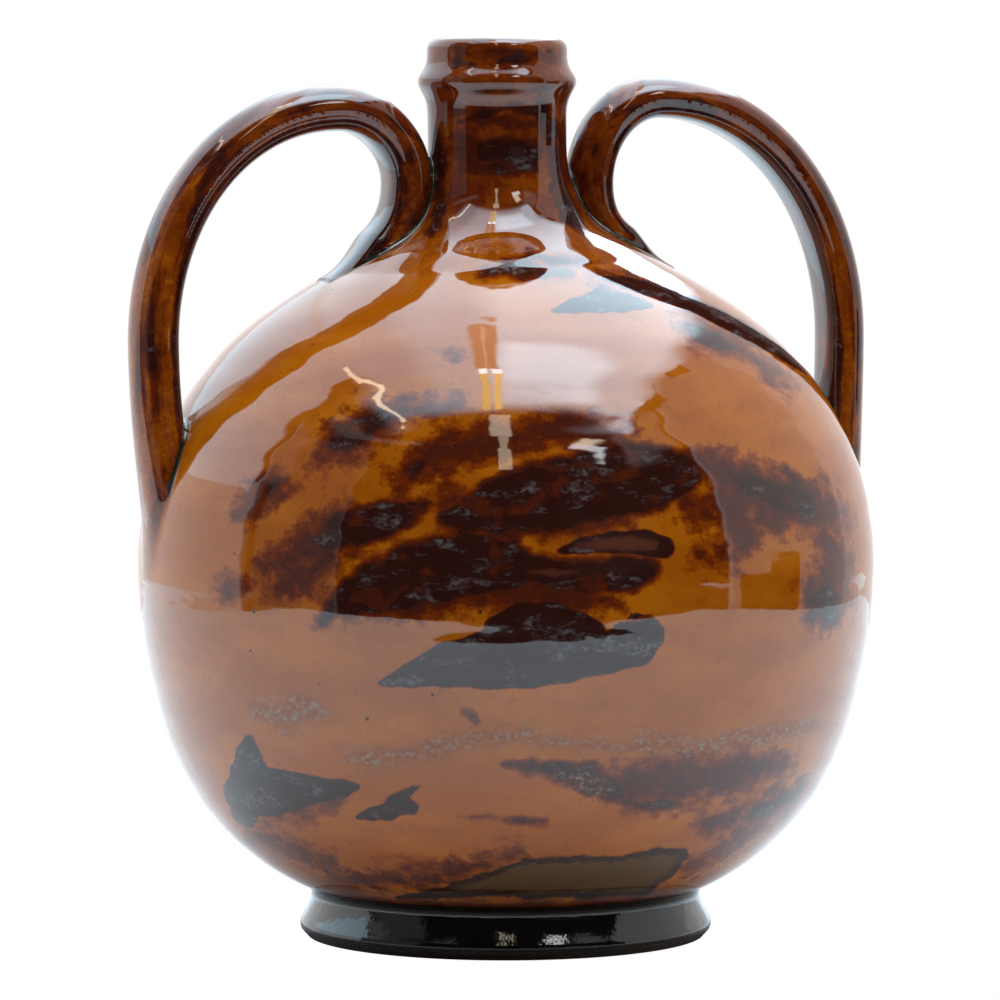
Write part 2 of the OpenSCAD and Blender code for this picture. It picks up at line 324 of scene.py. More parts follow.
@dataclass(frozen=True)
class StrapForm:
    """One strap handle, swept along four curves in the plane of both handles.

    Attributes:
        side: -1 for the left handle, 1 for the right.
        thick: Thickness of the strap.
        gap: Gap to the neck's waist.
        proud: How far the back stands out past the belly.
        crown_drop: Drop of the crown's centre line below the rim.
        vessel: Form that the strap is luted to.
    """

    side: int
    thick: float
    gap: float
    proud: float
    crown_drop: float
    vessel: NeckForm
    width: float = 0.0185
    outer_power: float = 2.1
    inner_power: float = 3.0
    crest: float = 0.09
    groove: float = 0.0007
    tail_w: float = 0.026
    root_w: float = 0.025
    root_swell: float = 1.1
    crown_run: float = 0.025
    flank_drop: float = 0.037
    outermost_rise: float = 0.057
    root_reach: float = 0.027
    tail_drop: float = 0.003
    blend: float = 0.0018
    samples: int = 120

    def curves(self) -> list[Array]:
        """Control points of the centre line, from the root to the tail."""
        body = self.vessel.body
        waist = self.vessel.neck_r + self.side * self.vessel.shift
        root_x = waist + self.root_reach
        centre = body.shoulder_centre
        shoulder = centre[1] + math.sqrt(body.shoulder_arc_r**2 - (root_x - centre[0]) ** 2)
        root = np.array([root_x, shoulder - 0.2 * self.thick])
        rim_z = self.vessel.rim_z
        flank = np.array([waist + self.gap + self.thick / 2, rim_z - self.flank_drop])
        crown = np.array([waist + self.crown_run, rim_z - self.crown_drop])
        outermost = np.array([body.belly_r + self.proud - self.thick / 2,
                              body.belly_z + self.outermost_rise])
        tail = np.array([body.belly_r - 0.0006 - self.thick / 2, body.belly_z - self.tail_drop])
        arch = (crown - flank) * 0.55
        drop = crown[1] - outermost[1]
        out = outermost[0] - crown[0]
        return [
            np.array([root, root + (-0.011, 0.0055), flank + (0, -0.015), flank]),
            np.array([flank, flank + (0, arch[1]), crown - (arch[0], 0), crown]),
            np.array([crown, crown + (out * 0.58, 0), outermost + (0, drop * 0.55), outermost]),
            np.array([outermost, outermost + (0, -0.022), tail + (0.0012, 0.020), tail]),
        ]

    def centre(self, run: Array) -> tuple[Array, Array, Array]:
        """Place, first and second derivative of the centre line.

        Args:
            run: Number of the curve and the share of it, from 0 to 4.

        Returns:
            Three arrays, each with rows of two coordinates.
        """
        controls = np.array(self.curves())
        number = np.clip(run.astype(int), 0, 3)
        t = (run - number)[:, None]
        a, b, c, d = (controls[number, corner] for corner in range(4))
        u = 1 - t
        place = u**3 * a + 3 * u**2 * t * b + 3 * u * t**2 * c + t**3 * d
        first = 3 * u**2 * (b - a) + 6 * u * t * (c - b) + 3 * t**2 * (d - c)
        second = 6 * u * (c - 2 * b + a) + 6 * t * (d - 2 * c + b)
        return place, first, second

    def nearest(self, points: Array) -> Array:
        """Runs of the centre line's points nearest to points on the right side."""
        flat = points[:, [0, 2]]
        samples = np.linspace(0, 4, self.samples)
        line = self.centre(samples)[0]
        best = np.empty(len(flat))
        for start in range(0, len(flat), 20000):
            part = flat[start:start + 20000]
            gap = (part[:, None, 0] - line[:, 0]) ** 2 + (part[:, None, 1] - line[:, 1]) ** 2
            best[start:start + 20000] = samples[np.argmin(gap, axis=1)]
        return best

    def sizes(self, run: Array) -> tuple[Array, Array, Array]:
        """Thickness, width and groove of the strap along its centre line."""
        tip = np.where(run < 1, 1 - ease(run, 0, 0.5), 0)
        root = np.where(run < 1, 1 - ease(run, 0.1, 1), 0)
        tail = ease(run, 3.15, 3.8)
        thick = self.thick * (1 + (self.root_swell - 1) * root - 0.75 * tip)
        width = self.width + (self.root_w - self.width) * root + (self.tail_w - self.width) * tail
        return thick, width * (1 - 0.5 * tip), self.groove * (1 - root) * (1 - tail)

    def section(self, points: Array, hint: Array | None = None) -> tuple[Array, Array, Array]:
        """Where points lie on the strap.

        Args:
            points: Points on the strap's own side, as if on the right.
            hint: Runs near the nearest ones, where they are known.

        Returns:
            Signed distance to the strap, run along it, and lane round its section,
            from 0 on the outer back to 1 on the inner face.
        """
        flat = points[:, [0, 2]]
        run = self.nearest(points) if hint is None else hint
        for _ in range(4):
            place, first, second = self.centre(run)
            offset = flat - place
            speed = np.sum(first**2, axis=1)
            bend = np.maximum(speed - np.sum(offset * second, axis=1), 0.2 * speed)
            run = np.clip(run + np.clip(np.sum(offset * first, axis=1) / bend, -0.1, 0.1), 0, 4)
        place, first, _ = self.centre(run)
        offset = flat - place
        ahead = first / np.linalg.norm(first, axis=1)[:, None]
        away = offset[:, 1] * ahead[:, 0] - offset[:, 0] * ahead[:, 1]
        end = (run <= 0) | (run >= 4)
        past = np.where(end, np.abs(np.sum(offset * ahead, axis=1)), 0)
        thick, width, groove = self.sizes(run)
        across = np.abs(points[:, 1])
        rise = away + self.crest * thick
        outer = rise > 0
        power = np.where(outer, self.outer_power, self.inner_power)
        deep = np.where(outer, 0.5 + self.crest, 0.5 - self.crest) * thick
        cosine = np.sign(rise) * np.abs(rise / deep) ** (power / 2)
        sine = (2 * across / width) ** (power / 2)
        angle = np.degrees(np.arctan2(sine, cosine))
        cut = groove * np.exp(-(((angle - 103) / 13) ** 2))
        half = width / 2 - cut
        one, two = np.abs(rise / deep), across / half
        size = np.maximum((one**power + two**power) ** (1 / power), 1e-6)
        slope = size ** (1 - power) * np.hypot(one ** (power - 1) / deep,
                                               two ** (power - 1) / half)
        near = (size - 1) / np.maximum(slope, 1e-3)
        far = np.where(past > 0, np.hypot(np.maximum(near, 0), past), near)
        return far, run, angle / 180

    def mirrored(self, points: Array) -> Array:
        """The points as if the handle stood on the right."""
        return points * np.array([self.side, 1, 1])

    def own_distance(self, points: Array, hint: Array | None = None) -> Array:
        """Signed distance to the strap alone, in the flask's own frame."""
        return self.section(self.mirrored(points), hint)[0]

    def distance(self, points: Array, hint: Array | None = None) -> Array:
        """Signed distance to the strap and the vessel, joined by a fillet."""
        strap = self.own_distance(points, hint)
        return smooth_union(self.vessel.distance(points), strap, self.blend)


# Meshes


@dataclass
class Skin:
    """A mesh in the making, with its normals and its glaze fields.

    Attributes:
        name: Name of the piece.
        points: Corners, in metres.
        faces: Corner numbers, four to a face.
        normals: One normal for each corner.
        caps: Rings of corners, each closed by one face.
        fields: Named values at the corners.
    """

    name: str
    points: Array
    faces: Array
    normals: Array
    caps: list[Array] = field(default_factory=list)
    fields: dict[str, Array] = field(default_factory=dict)

    def make(self) -> bpy.types.Object:
        """Makes the Blender object of the skin."""
        mesh = bpy.data.meshes.new(self.name)
        rings = self.faces.tolist() + [cap.tolist() for cap in self.caps]
        mesh.from_pydata(self.points.tolist(), [], rings)
        mesh.shade_smooth()
        mesh.normals_split_custom_set_from_vertices(self.normals.tolist())
        for name, values in self.fields.items():
            attribute = mesh.attributes.new(name, "FLOAT", "POINT")
            attribute.data.foreach_set("value", values.astype(np.float32))
        made = bpy.data.objects.new(self.name, mesh)
        bpy.context.scene.collection.objects.link(made)
        return made


def unit(vectors: Array) -> Array:
    """The vectors, each scaled to a length of one."""
    return vectors / np.maximum(np.linalg.norm(vectors, axis=1), 1e-12)[:, None]


def turned(profile: Array, turns: int, shift: Array, closed: bool) -> tuple[Array, Array]:
    """Turns a profile round the axis.

    Args:
        profile: Rows of radius and height.
        turns: Faces round the axis.
        shift: How far each ring's centre stands off the axis, along X.
        closed: Whether the profile's last point joins its first.

    Returns:
        The corners and the faces.
    """
    rings = len(profile)
    angle = np.linspace(0, 2 * np.pi, turns, endpoint=False)
    x = profile[:, 0][:, None] * np.cos(angle) + shift[:, None]
    y = profile[:, 0][:, None] * np.sin(angle)
    z = np.repeat(profile[:, 1][:, None], turns, axis=1)
    points = np.stack([x, y, z], axis=2).reshape(-1, 3)
    ring = np.arange(rings if closed else rings - 1)
    step = np.arange(turns)
    a = (ring[:, None] * turns + step).ravel()
    b = (ring[:, None] * turns + (step + 1) % turns).ravel()
    c = (((ring + 1) % rings)[:, None] * turns + (step + 1) % turns).ravel()
    d = (((ring + 1) % rings)[:, None] * turns + step).ravel()
    return points, np.stack([a, b, c, d], axis=1)


def corner_normals(points: Array, faces: Array) -> Array:
    """Normals at the corners of a mesh, weighted by the faces' areas."""
    corners = points[faces]
    flat = np.cross(corners[:, 2] - corners[:, 0], corners[:, 3] - corners[:, 1])
    total = np.zeros_like(points)
    for number in range(4):
        np.add.at(total, faces[:, number], flat)
    return unit(total)


def surface_net(values: Array, low: Array, step: float) -> tuple[Array, Array]:
    """Turns a grid of distances into a mesh of four-sided faces.

    Args:
        values: Distances at the grid's nodes.
        low: Place of the first node.
        step: Distance between nodes.

    Returns:
        The corners and the faces.
    """
    inside = values < 0
    cells = tuple(np.array(values.shape) - 1)
    corner = [(i, j, k) for i in (0, 1) for j in (0, 1) for k in (0, 1)]
    full = sum(inside[i:i + cells[0], j:j + cells[1], k:k + cells[2]].astype(np.int8)
               for i, j, k in corner)
    active = np.argwhere((full > 0) & (full < 8))
    number = np.full(cells, -1)
    number[tuple(active.T)] = np.arange(len(active))
    level = {c: values[tuple((active + c).T)] for c in corner}
    total = np.zeros((len(active), 3))
    hits = np.zeros(len(active))
    for start in corner:
        for axis in range(3):
            if start[axis]:
                continue
            end = tuple(v + (axis == n) for n, v in enumerate(start))
            one, two = level[start], level[end]
            cross = (one < 0) != (two < 0)
            share = np.where(cross, one / np.where(cross, one - two, 1), 0)
            spot = np.array(start) + share[:, None] * np.eye(3)[axis]
            total += np.where(cross[:, None], spot, 0)
            hits += cross
    points = low + (active + total / hits[:, None]) * step
    faces = []
    for axis in range(3):
        one, two = (axis + 1) % 3, (axis + 2) % 3
        shape = list(values.shape)
        head = [slice(None)] * 3
        head[axis] = slice(0, shape[axis] - 1)
        tail = [slice(None)] * 3
        tail[axis] = slice(1, None)
        change = inside[tuple(head)] != inside[tuple(tail)]
        spots = np.argwhere(change)
        keep = ((spots[:, one] > 0) & (spots[:, two] > 0)
                & (spots[:, one] < cells[one]) & (spots[:, two] < cells[two]))
        spots = spots[keep]
        quad = []
        for back_one, back_two in ((1, 1), (0, 1), (0, 0), (1, 0)):
            cell = spots.copy()
            cell[:, one] -= back_one
            cell[:, two] -= back_two
            quad.append(number[tuple(cell.T)])
        quad = np.stack(quad, axis=1)
        outward = inside[tuple(spots.T)]
        faces.append(np.where(outward[:, None], quad, quad[:, ::-1]))
    return points, np.concatenate(faces)


def trimmed(points: Array, faces: Array, keep: Array) -> tuple[Array, Array, Array]:
    """Drops the faces that have a corner outside a mask, and loose corners."""
    faces = faces[keep[faces].all(axis=1)]
    used = np.unique(faces)
    renumber = np.full(len(points), -1)
    renumber[used] = np.arange(len(used))
    return points[used], renumber[faces], used


# Pieces


class Slot(Enum):
    """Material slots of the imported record."""

    BODY = "amber_glaze"
    APPLIED = "streaked_glaze"
    FOOT = "dark_glaze"


def place(piece: bpy.types.Object, node: str, slot: Slot,
          finish: bpy.types.Material) -> bpy.types.Object:
    """Dresses a piece and lets it stand for its CAD node.

    Args:
        piece: The piece.
        node: Name of the node that it replaces.
        slot: The record's material slot; not used.
        finish: The material.

    Returns:
        The piece.
    """
    piece.data.materials.append(finish)
    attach(piece, "root")
    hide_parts(node)
    LOG.info("made %s with %d corners", piece.name, len(piece.data.vertices))
    return piece


@dataclass(frozen=True)
class ThrownBody:
    """The hollow body, with its throat under the neck."""

    form: BodyForm
    neck: NeckForm
    wall: float = 0.006
    step: float = 0.0013
    turns: int = 420

    def inner_outline(self) -> Array:
        """Points of the inside, from the throat down to the floor's middle."""
        form = self.form
        count = 40
        top = math.degrees(math.acos(
            (self.neck.bore_r - form.shoulder_centre[0]) / (form.shoulder_arc_r - self.wall)))
        parts = [
            arc_points(form.shoulder_centre, form.shoulder_arc_r - self.wall, top,
                       form.haunch_turn, count),
            arc_points(form.haunch_centre, form.haunch_arc_r - self.wall, form.haunch_turn, 0,
                       count)[1:],
            arc_points(form.side_centre, form.side_arc_r - self.wall, 0, -form.side_turn,
                       count)[1:],
            arc_points(form.under_centre, form.under_arc_r - self.wall, -form.side_turn, -90,
                       count)[1:],
        ]
        return np.concatenate(parts)

    def build(self) -> Skin:
        """Makes the closed shell."""
        outer = self.form.outline(self.step)
        flat = np.linspace(0.0005, outer[0, 0], 16, endpoint=False)
        floor = np.stack([flat, np.full(16, self.form.foot_h)], axis=1)
        inner = self.inner_outline()
        hearth = np.stack([flat[::-1], np.full(16, inner[-1, 1])], axis=1)
        throat = np.stack([np.full(3, self.neck.bore_r),
                           np.linspace(outer[-1, 1], inner[0, 1], 5)[1:-1]], axis=1)
        profile = np.concatenate([floor, outer, throat, inner, hearth])
        shift = self.neck.shift * (1 - ease(profile[:, 0], self.neck.bore_r, 0.0185))
        shift *= profile[:, 1] > self.form.belly_z
        points, faces = turned(profile, self.turns, shift, False)
        skin_rows = (len(floor) + len(outer)) * self.turns
        first = len(floor) * self.turns
        points[first:skin_rows] = settle(points[first:skin_rows], self.form.distance, 3)
        normals = corner_normals(points, faces)
        normals[first:skin_rows] = unit(gradient(points[first:skin_rows], self.form.distance))
        caps = [np.arange(self.turns)[::-1], len(points) - self.turns + np.arange(self.turns)]
        return Skin("thrown_body", points, faces, normals, caps)


@dataclass(frozen=True)
class TurnedFoot:
    """The turned foot ring, hollow underneath, run into the body by a fillet."""

    body: BodyForm
    waist_r: float = 0.0498
    flare: float = 0.0031
    lip_round: float = 0.0024
    lip_z: float = 0.003
    lip_turn: float = 29.0
    waist_z: float = 0.0118
    tuck: float = 0.0019
    ring: float = 0.0063
    blend: float = 0.0025
    sink: float = 0.0008
    turns: int = 320

    @property
    def lip(self) -> tuple[float, float]:
        """Centre of the lip's rounding."""
        return self.waist_r + self.flare - self.lip_round, self.lip_z

    def radius(self, height: Array) -> Array:
        """Radius of the flaring waist at heights above the lip."""
        turn = math.radians(self.lip_turn)
        low = self.lip_z + self.lip_round * math.sin(turn)
        run = self.lip[0] + self.lip_round * math.cos(turn) - self.waist_r
        share = np.clip((height - low) / (self.waist_z - low), 0, 1)
        return self.waist_r + run * (1 - share) ** 1.5

    def own_distance(self, points: Array) -> Array:
        """Distance to the waist of the foot."""
        return np.hypot(points[:, 0], points[:, 1]) - self.radius(points[:, 2])

    def distance(self, points: Array) -> Array:
        """Signed distance to the body and the waist, joined by a fillet."""
        return smooth_union(self.body.distance(points), self.own_distance(points), self.blend)

    def build(self) -> Skin:
        """Makes the closed ring."""
        lip = self.lip
        flat_r = self.waist_r + self.flare - self.tuck
        hollow = self.waist_r - self.ring
        under = self.body.under_centre[1] - math.sqrt(
            self.body.under_arc_r**2 - (hollow - self.body.under_centre[0]) ** 2)
        fair = np.linspace(0, 1, 26)[:, None]
        top_z = self.body.under_centre[1] - math.sqrt(
            self.body.under_arc_r**2 - (self.waist_r - self.body.under_centre[0]) ** 2)
        rise = np.linspace(lip[1] + self.lip_round * math.sin(math.radians(self.lip_turn)),
                           0.0098, 16)
        flank = np.stack([self.radius(rise), rise], axis=1)[1:]
        join = flank[-1]
        end_r = self.waist_r + 0.0042
        end = np.array([end_r, self.body.under_centre[1] - math.sqrt(
            self.body.under_arc_r**2 - (end_r - self.body.under_centre[0]) ** 2)])
        knee = np.array([self.waist_r + 0.0004, top_z])
        sweep = (1 - fair) ** 2 * join + 2 * fair * (1 - fair) * knee + fair**2 * end
        inside = np.linspace(0, 1, 8)[:, None]
        buried = end * (1 - inside) + np.array([hollow, under]) * inside
        buried[:, 1] += self.sink * np.sin(np.clip(inside[:, 0] * 4, 0, 1) * np.pi / 2)
        wall = np.stack([np.full(4, hollow), np.linspace(under, 0.0008, 4)], axis=1)
        profile = np.concatenate([
            wall, [[hollow + 0.0003, 0.0002]], [[hollow + 0.0009, 0.0]],
            np.stack([np.linspace(hollow + 0.0012, flat_r, 5), np.zeros(5)], axis=1),
            arc_points(lip, self.lip_round, -48, self.lip_turn, 22),
            flank, sweep[1:], buried[1:-1],
        ])
        points, faces = turned(profile, self.turns, np.zeros(len(profile)), True)
        settling = len(flank) + len(sweep[1:])
        first = (len(profile) - len(buried[1:-1]) - settling) * self.turns
        last = first + settling * self.turns
        settled = settle(points[first:last], self.distance)
        past = self.own_distance(settled) - self.body.distance(settled)
        settled[:, 2] += 0.00002 * ease(past, 0.6 * self.blend, self.blend)
        points[first:last] = settled
        normals = corner_normals(points, faces)
        share = ease(past, 0.5 * self.blend, 0.9 * self.blend)[:, None]
        normals[first:last] = unit(
            (1 - share) * gradient(settled, self.distance)
            + share * gradient(settled, self.body.distance))
        return Skin("foot_ring_glazed", points, faces, normals)


@dataclass(frozen=True)
class CollaredNeck:
    """The neck with its bead and its rim, run into the shoulder by a fillet."""

    form: NeckForm
    sink: float = 0.0008
    turns: int = 300
    skirt: float = 0.028

    def build(self) -> Skin:
        """Makes the closed neck."""
        form = self.form
        top = form.rim_z - form.rim_round
        side_z = np.linspace(form.waist_z, top, 80)
        side = np.stack([form.radius(side_z), side_z], axis=1)
        rim = arc_points((side[-1, 0] - form.rim_round, top), form.rim_round, 0, 90, 12)[1:]
        mouth = arc_points((form.bore_r + form.mouth_round, form.rim_z - form.mouth_round),
                           form.mouth_round, 90, 180, 10)
        bottom = form.body.shoulder_centre[1] + math.sqrt(
            form.body.shoulder_arc_r**2
            - (form.bore_r - form.body.shoulder_centre[0]) ** 2) - self.sink
        bore = np.stack([np.full(14, form.bore_r), np.linspace(mouth[-1, 1], bottom, 15)[1:]], 1)
        spread = np.linspace(form.neck_r + 0.0001, form.neck_r + self.skirt, 60)[::-1]
        centre = form.body.shoulder_centre
        shoulder = centre[1] + np.sqrt(form.body.shoulder_arc_r**2 - (spread - centre[0]) ** 2)
        inward = np.maximum(form.flare_r**2 - (form.neck_r + form.flare_r - spread) ** 2, 0)
        flare = form.waist_z - np.sqrt(inward)
        flare[spread > form.neck_r + form.flare_r] = -1
        outer = np.stack([spread, np.maximum(shoulder, flare)], axis=1)
        hidden = np.linspace(form.bore_r, spread[0], 9)[1:-1]
        under = np.stack([hidden, centre[1] + np.sqrt(
            (form.body.shoulder_arc_r - self.sink) ** 2 - (hidden - centre[0]) ** 2)], axis=1)
        profile = np.concatenate([outer, side[1:], rim, mouth, bore, under])
        points, faces = turned(profile, self.turns, np.full(len(profile), form.shift), True)
        flared = len(outer) * self.turns
        settled = settle(points[:flared], form.distance, 5)
        past = form.own_distance(settled) - form.body.distance(settled)
        slope = unit(gradient(settled, form.distance))
        settled -= slope * (0.00002 * ease(past, 0.6 * form.blend, form.blend))[:, None]
        points[:flared] = settled
        buried = len(profile) - len(under)
        points[buried * self.turns:] = settle(
            points[buried * self.turns:], lambda p: form.body.distance(p) + self.sink)
        normals = corner_normals(points, faces)
        share = ease(past, 0.6 * form.blend, 0.95 * form.blend)[:, None]
        normals[:flared] = unit((1 - share) * slope
                                + share * gradient(settled, form.body.distance))
        return Skin("collared_neck", points, faces, normals)


@dataclass(frozen=True)
class PulledHandle:
    """A pulled strap handle, run into the neck and the body by fillets."""

    name: str
    form: StrapForm
    step: float = 0.0006
    sink: float = 0.0016
    coarse: int = 5

    def closed_distance(self, points: Array, hint: Array | None = None) -> Array:
        """Signed distance to the handle as a solid that ends inside the body's wall."""
        vessel = self.form.vessel.distance(points)
        strap = self.form.own_distance(points, hint)
        blend = self.form.blend
        joined = smooth_union(vessel, strap, blend)
        joined += 0.00002 * ease(strap - vessel, 0.6 * blend, blend)
        return np.maximum(joined, np.maximum(-(vessel + self.sink), strap - 1.05 * blend))

    def grid(self) -> tuple[Array, Array]:
        """Distances on a fine grid round the strap, worked out only near its surface."""
        line = self.form.centre(np.linspace(0, 4, self.form.samples))[0]
        pad = 0.012
        low = np.array([line[:, 0].min() - pad, -0.022, line[:, 1].min() - pad])
        high = np.array([line[:, 0].max() + pad, 0.022, line[:, 1].max() + pad])
        wide = self.step * self.coarse
        cells = np.ceil((high - low) / wide).astype(int)
        low_x = low[0] if self.form.side > 0 else -(low[0] + cells[0] * wide)
        start = np.array([low_x, low[1], low[2]])
        middle = np.stack(np.meshgrid(*[np.arange(c) + 0.5 for c in cells], indexing="ij"), -1)
        rough = self.closed_distance((start + middle.reshape(-1, 3) * wide)).reshape(cells)
        near = np.abs(rough) < wide * 1.8
        values = np.repeat(np.repeat(np.repeat(rough, self.coarse, 0), self.coarse, 1),
                           self.coarse, 2)
        values = np.pad(values, ((0, 1), (0, 1), (0, 1)), mode="edge")
        wanted = np.zeros(values.shape, bool)
        inner = np.repeat(np.repeat(np.repeat(near, self.coarse, 0), self.coarse, 1),
                          self.coarse, 2)
        for shift in [(i, j, k) for i in (0, 1) for j in (0, 1) for k in (0, 1)]:
            spot = tuple(slice(s, s + n) for s, n in zip(shift, inner.shape))
            wanted[spot] |= inner
        spots = np.argwhere(wanted)
        values[wanted] = self.closed_distance(start + spots * self.step)
        return values, start

    def build(self) -> Skin:
        """Makes the closed handle."""
        values, start = self.grid()
        points, faces = surface_net(values, start, self.step)
        form, vessel = self.form, self.form.vessel
        hint = form.nearest(form.mirrored(points))
        points = settle(points, lambda p: self.closed_distance(p, hint), 2)
        past = form.own_distance(points, hint) - vessel.distance(points)
        share = ease(past, 0.55 * form.blend, 0.95 * form.blend)[:, None]
        seen = vessel.distance(points) > -0.0003
        smooth = unit((1 - share) * gradient(points, lambda p: form.distance(p, hint))
                      + share * gradient(points, vessel.distance))
        normals = np.where(seen[:, None], smooth, corner_normals(points, faces))
        return Skin(self.name, points, faces, normals)


# Streaks


class Tone(Enum):
    """Kinds of streak, each named after the attribute that holds its distances."""

    # The treacle tone also holds painted shade and painted reflection down the neck's sides.
    TREACLE = "treacle"
    SYRUP = "syrup"
    # The smoke tone also holds painted shade down the neck's right side.
    SMOKE = "smoke"
    ASH = "ash"
    OLIVE = "olive"
    CORE = "core"


Stroke = tuple[tuple[float, float, float], ...]

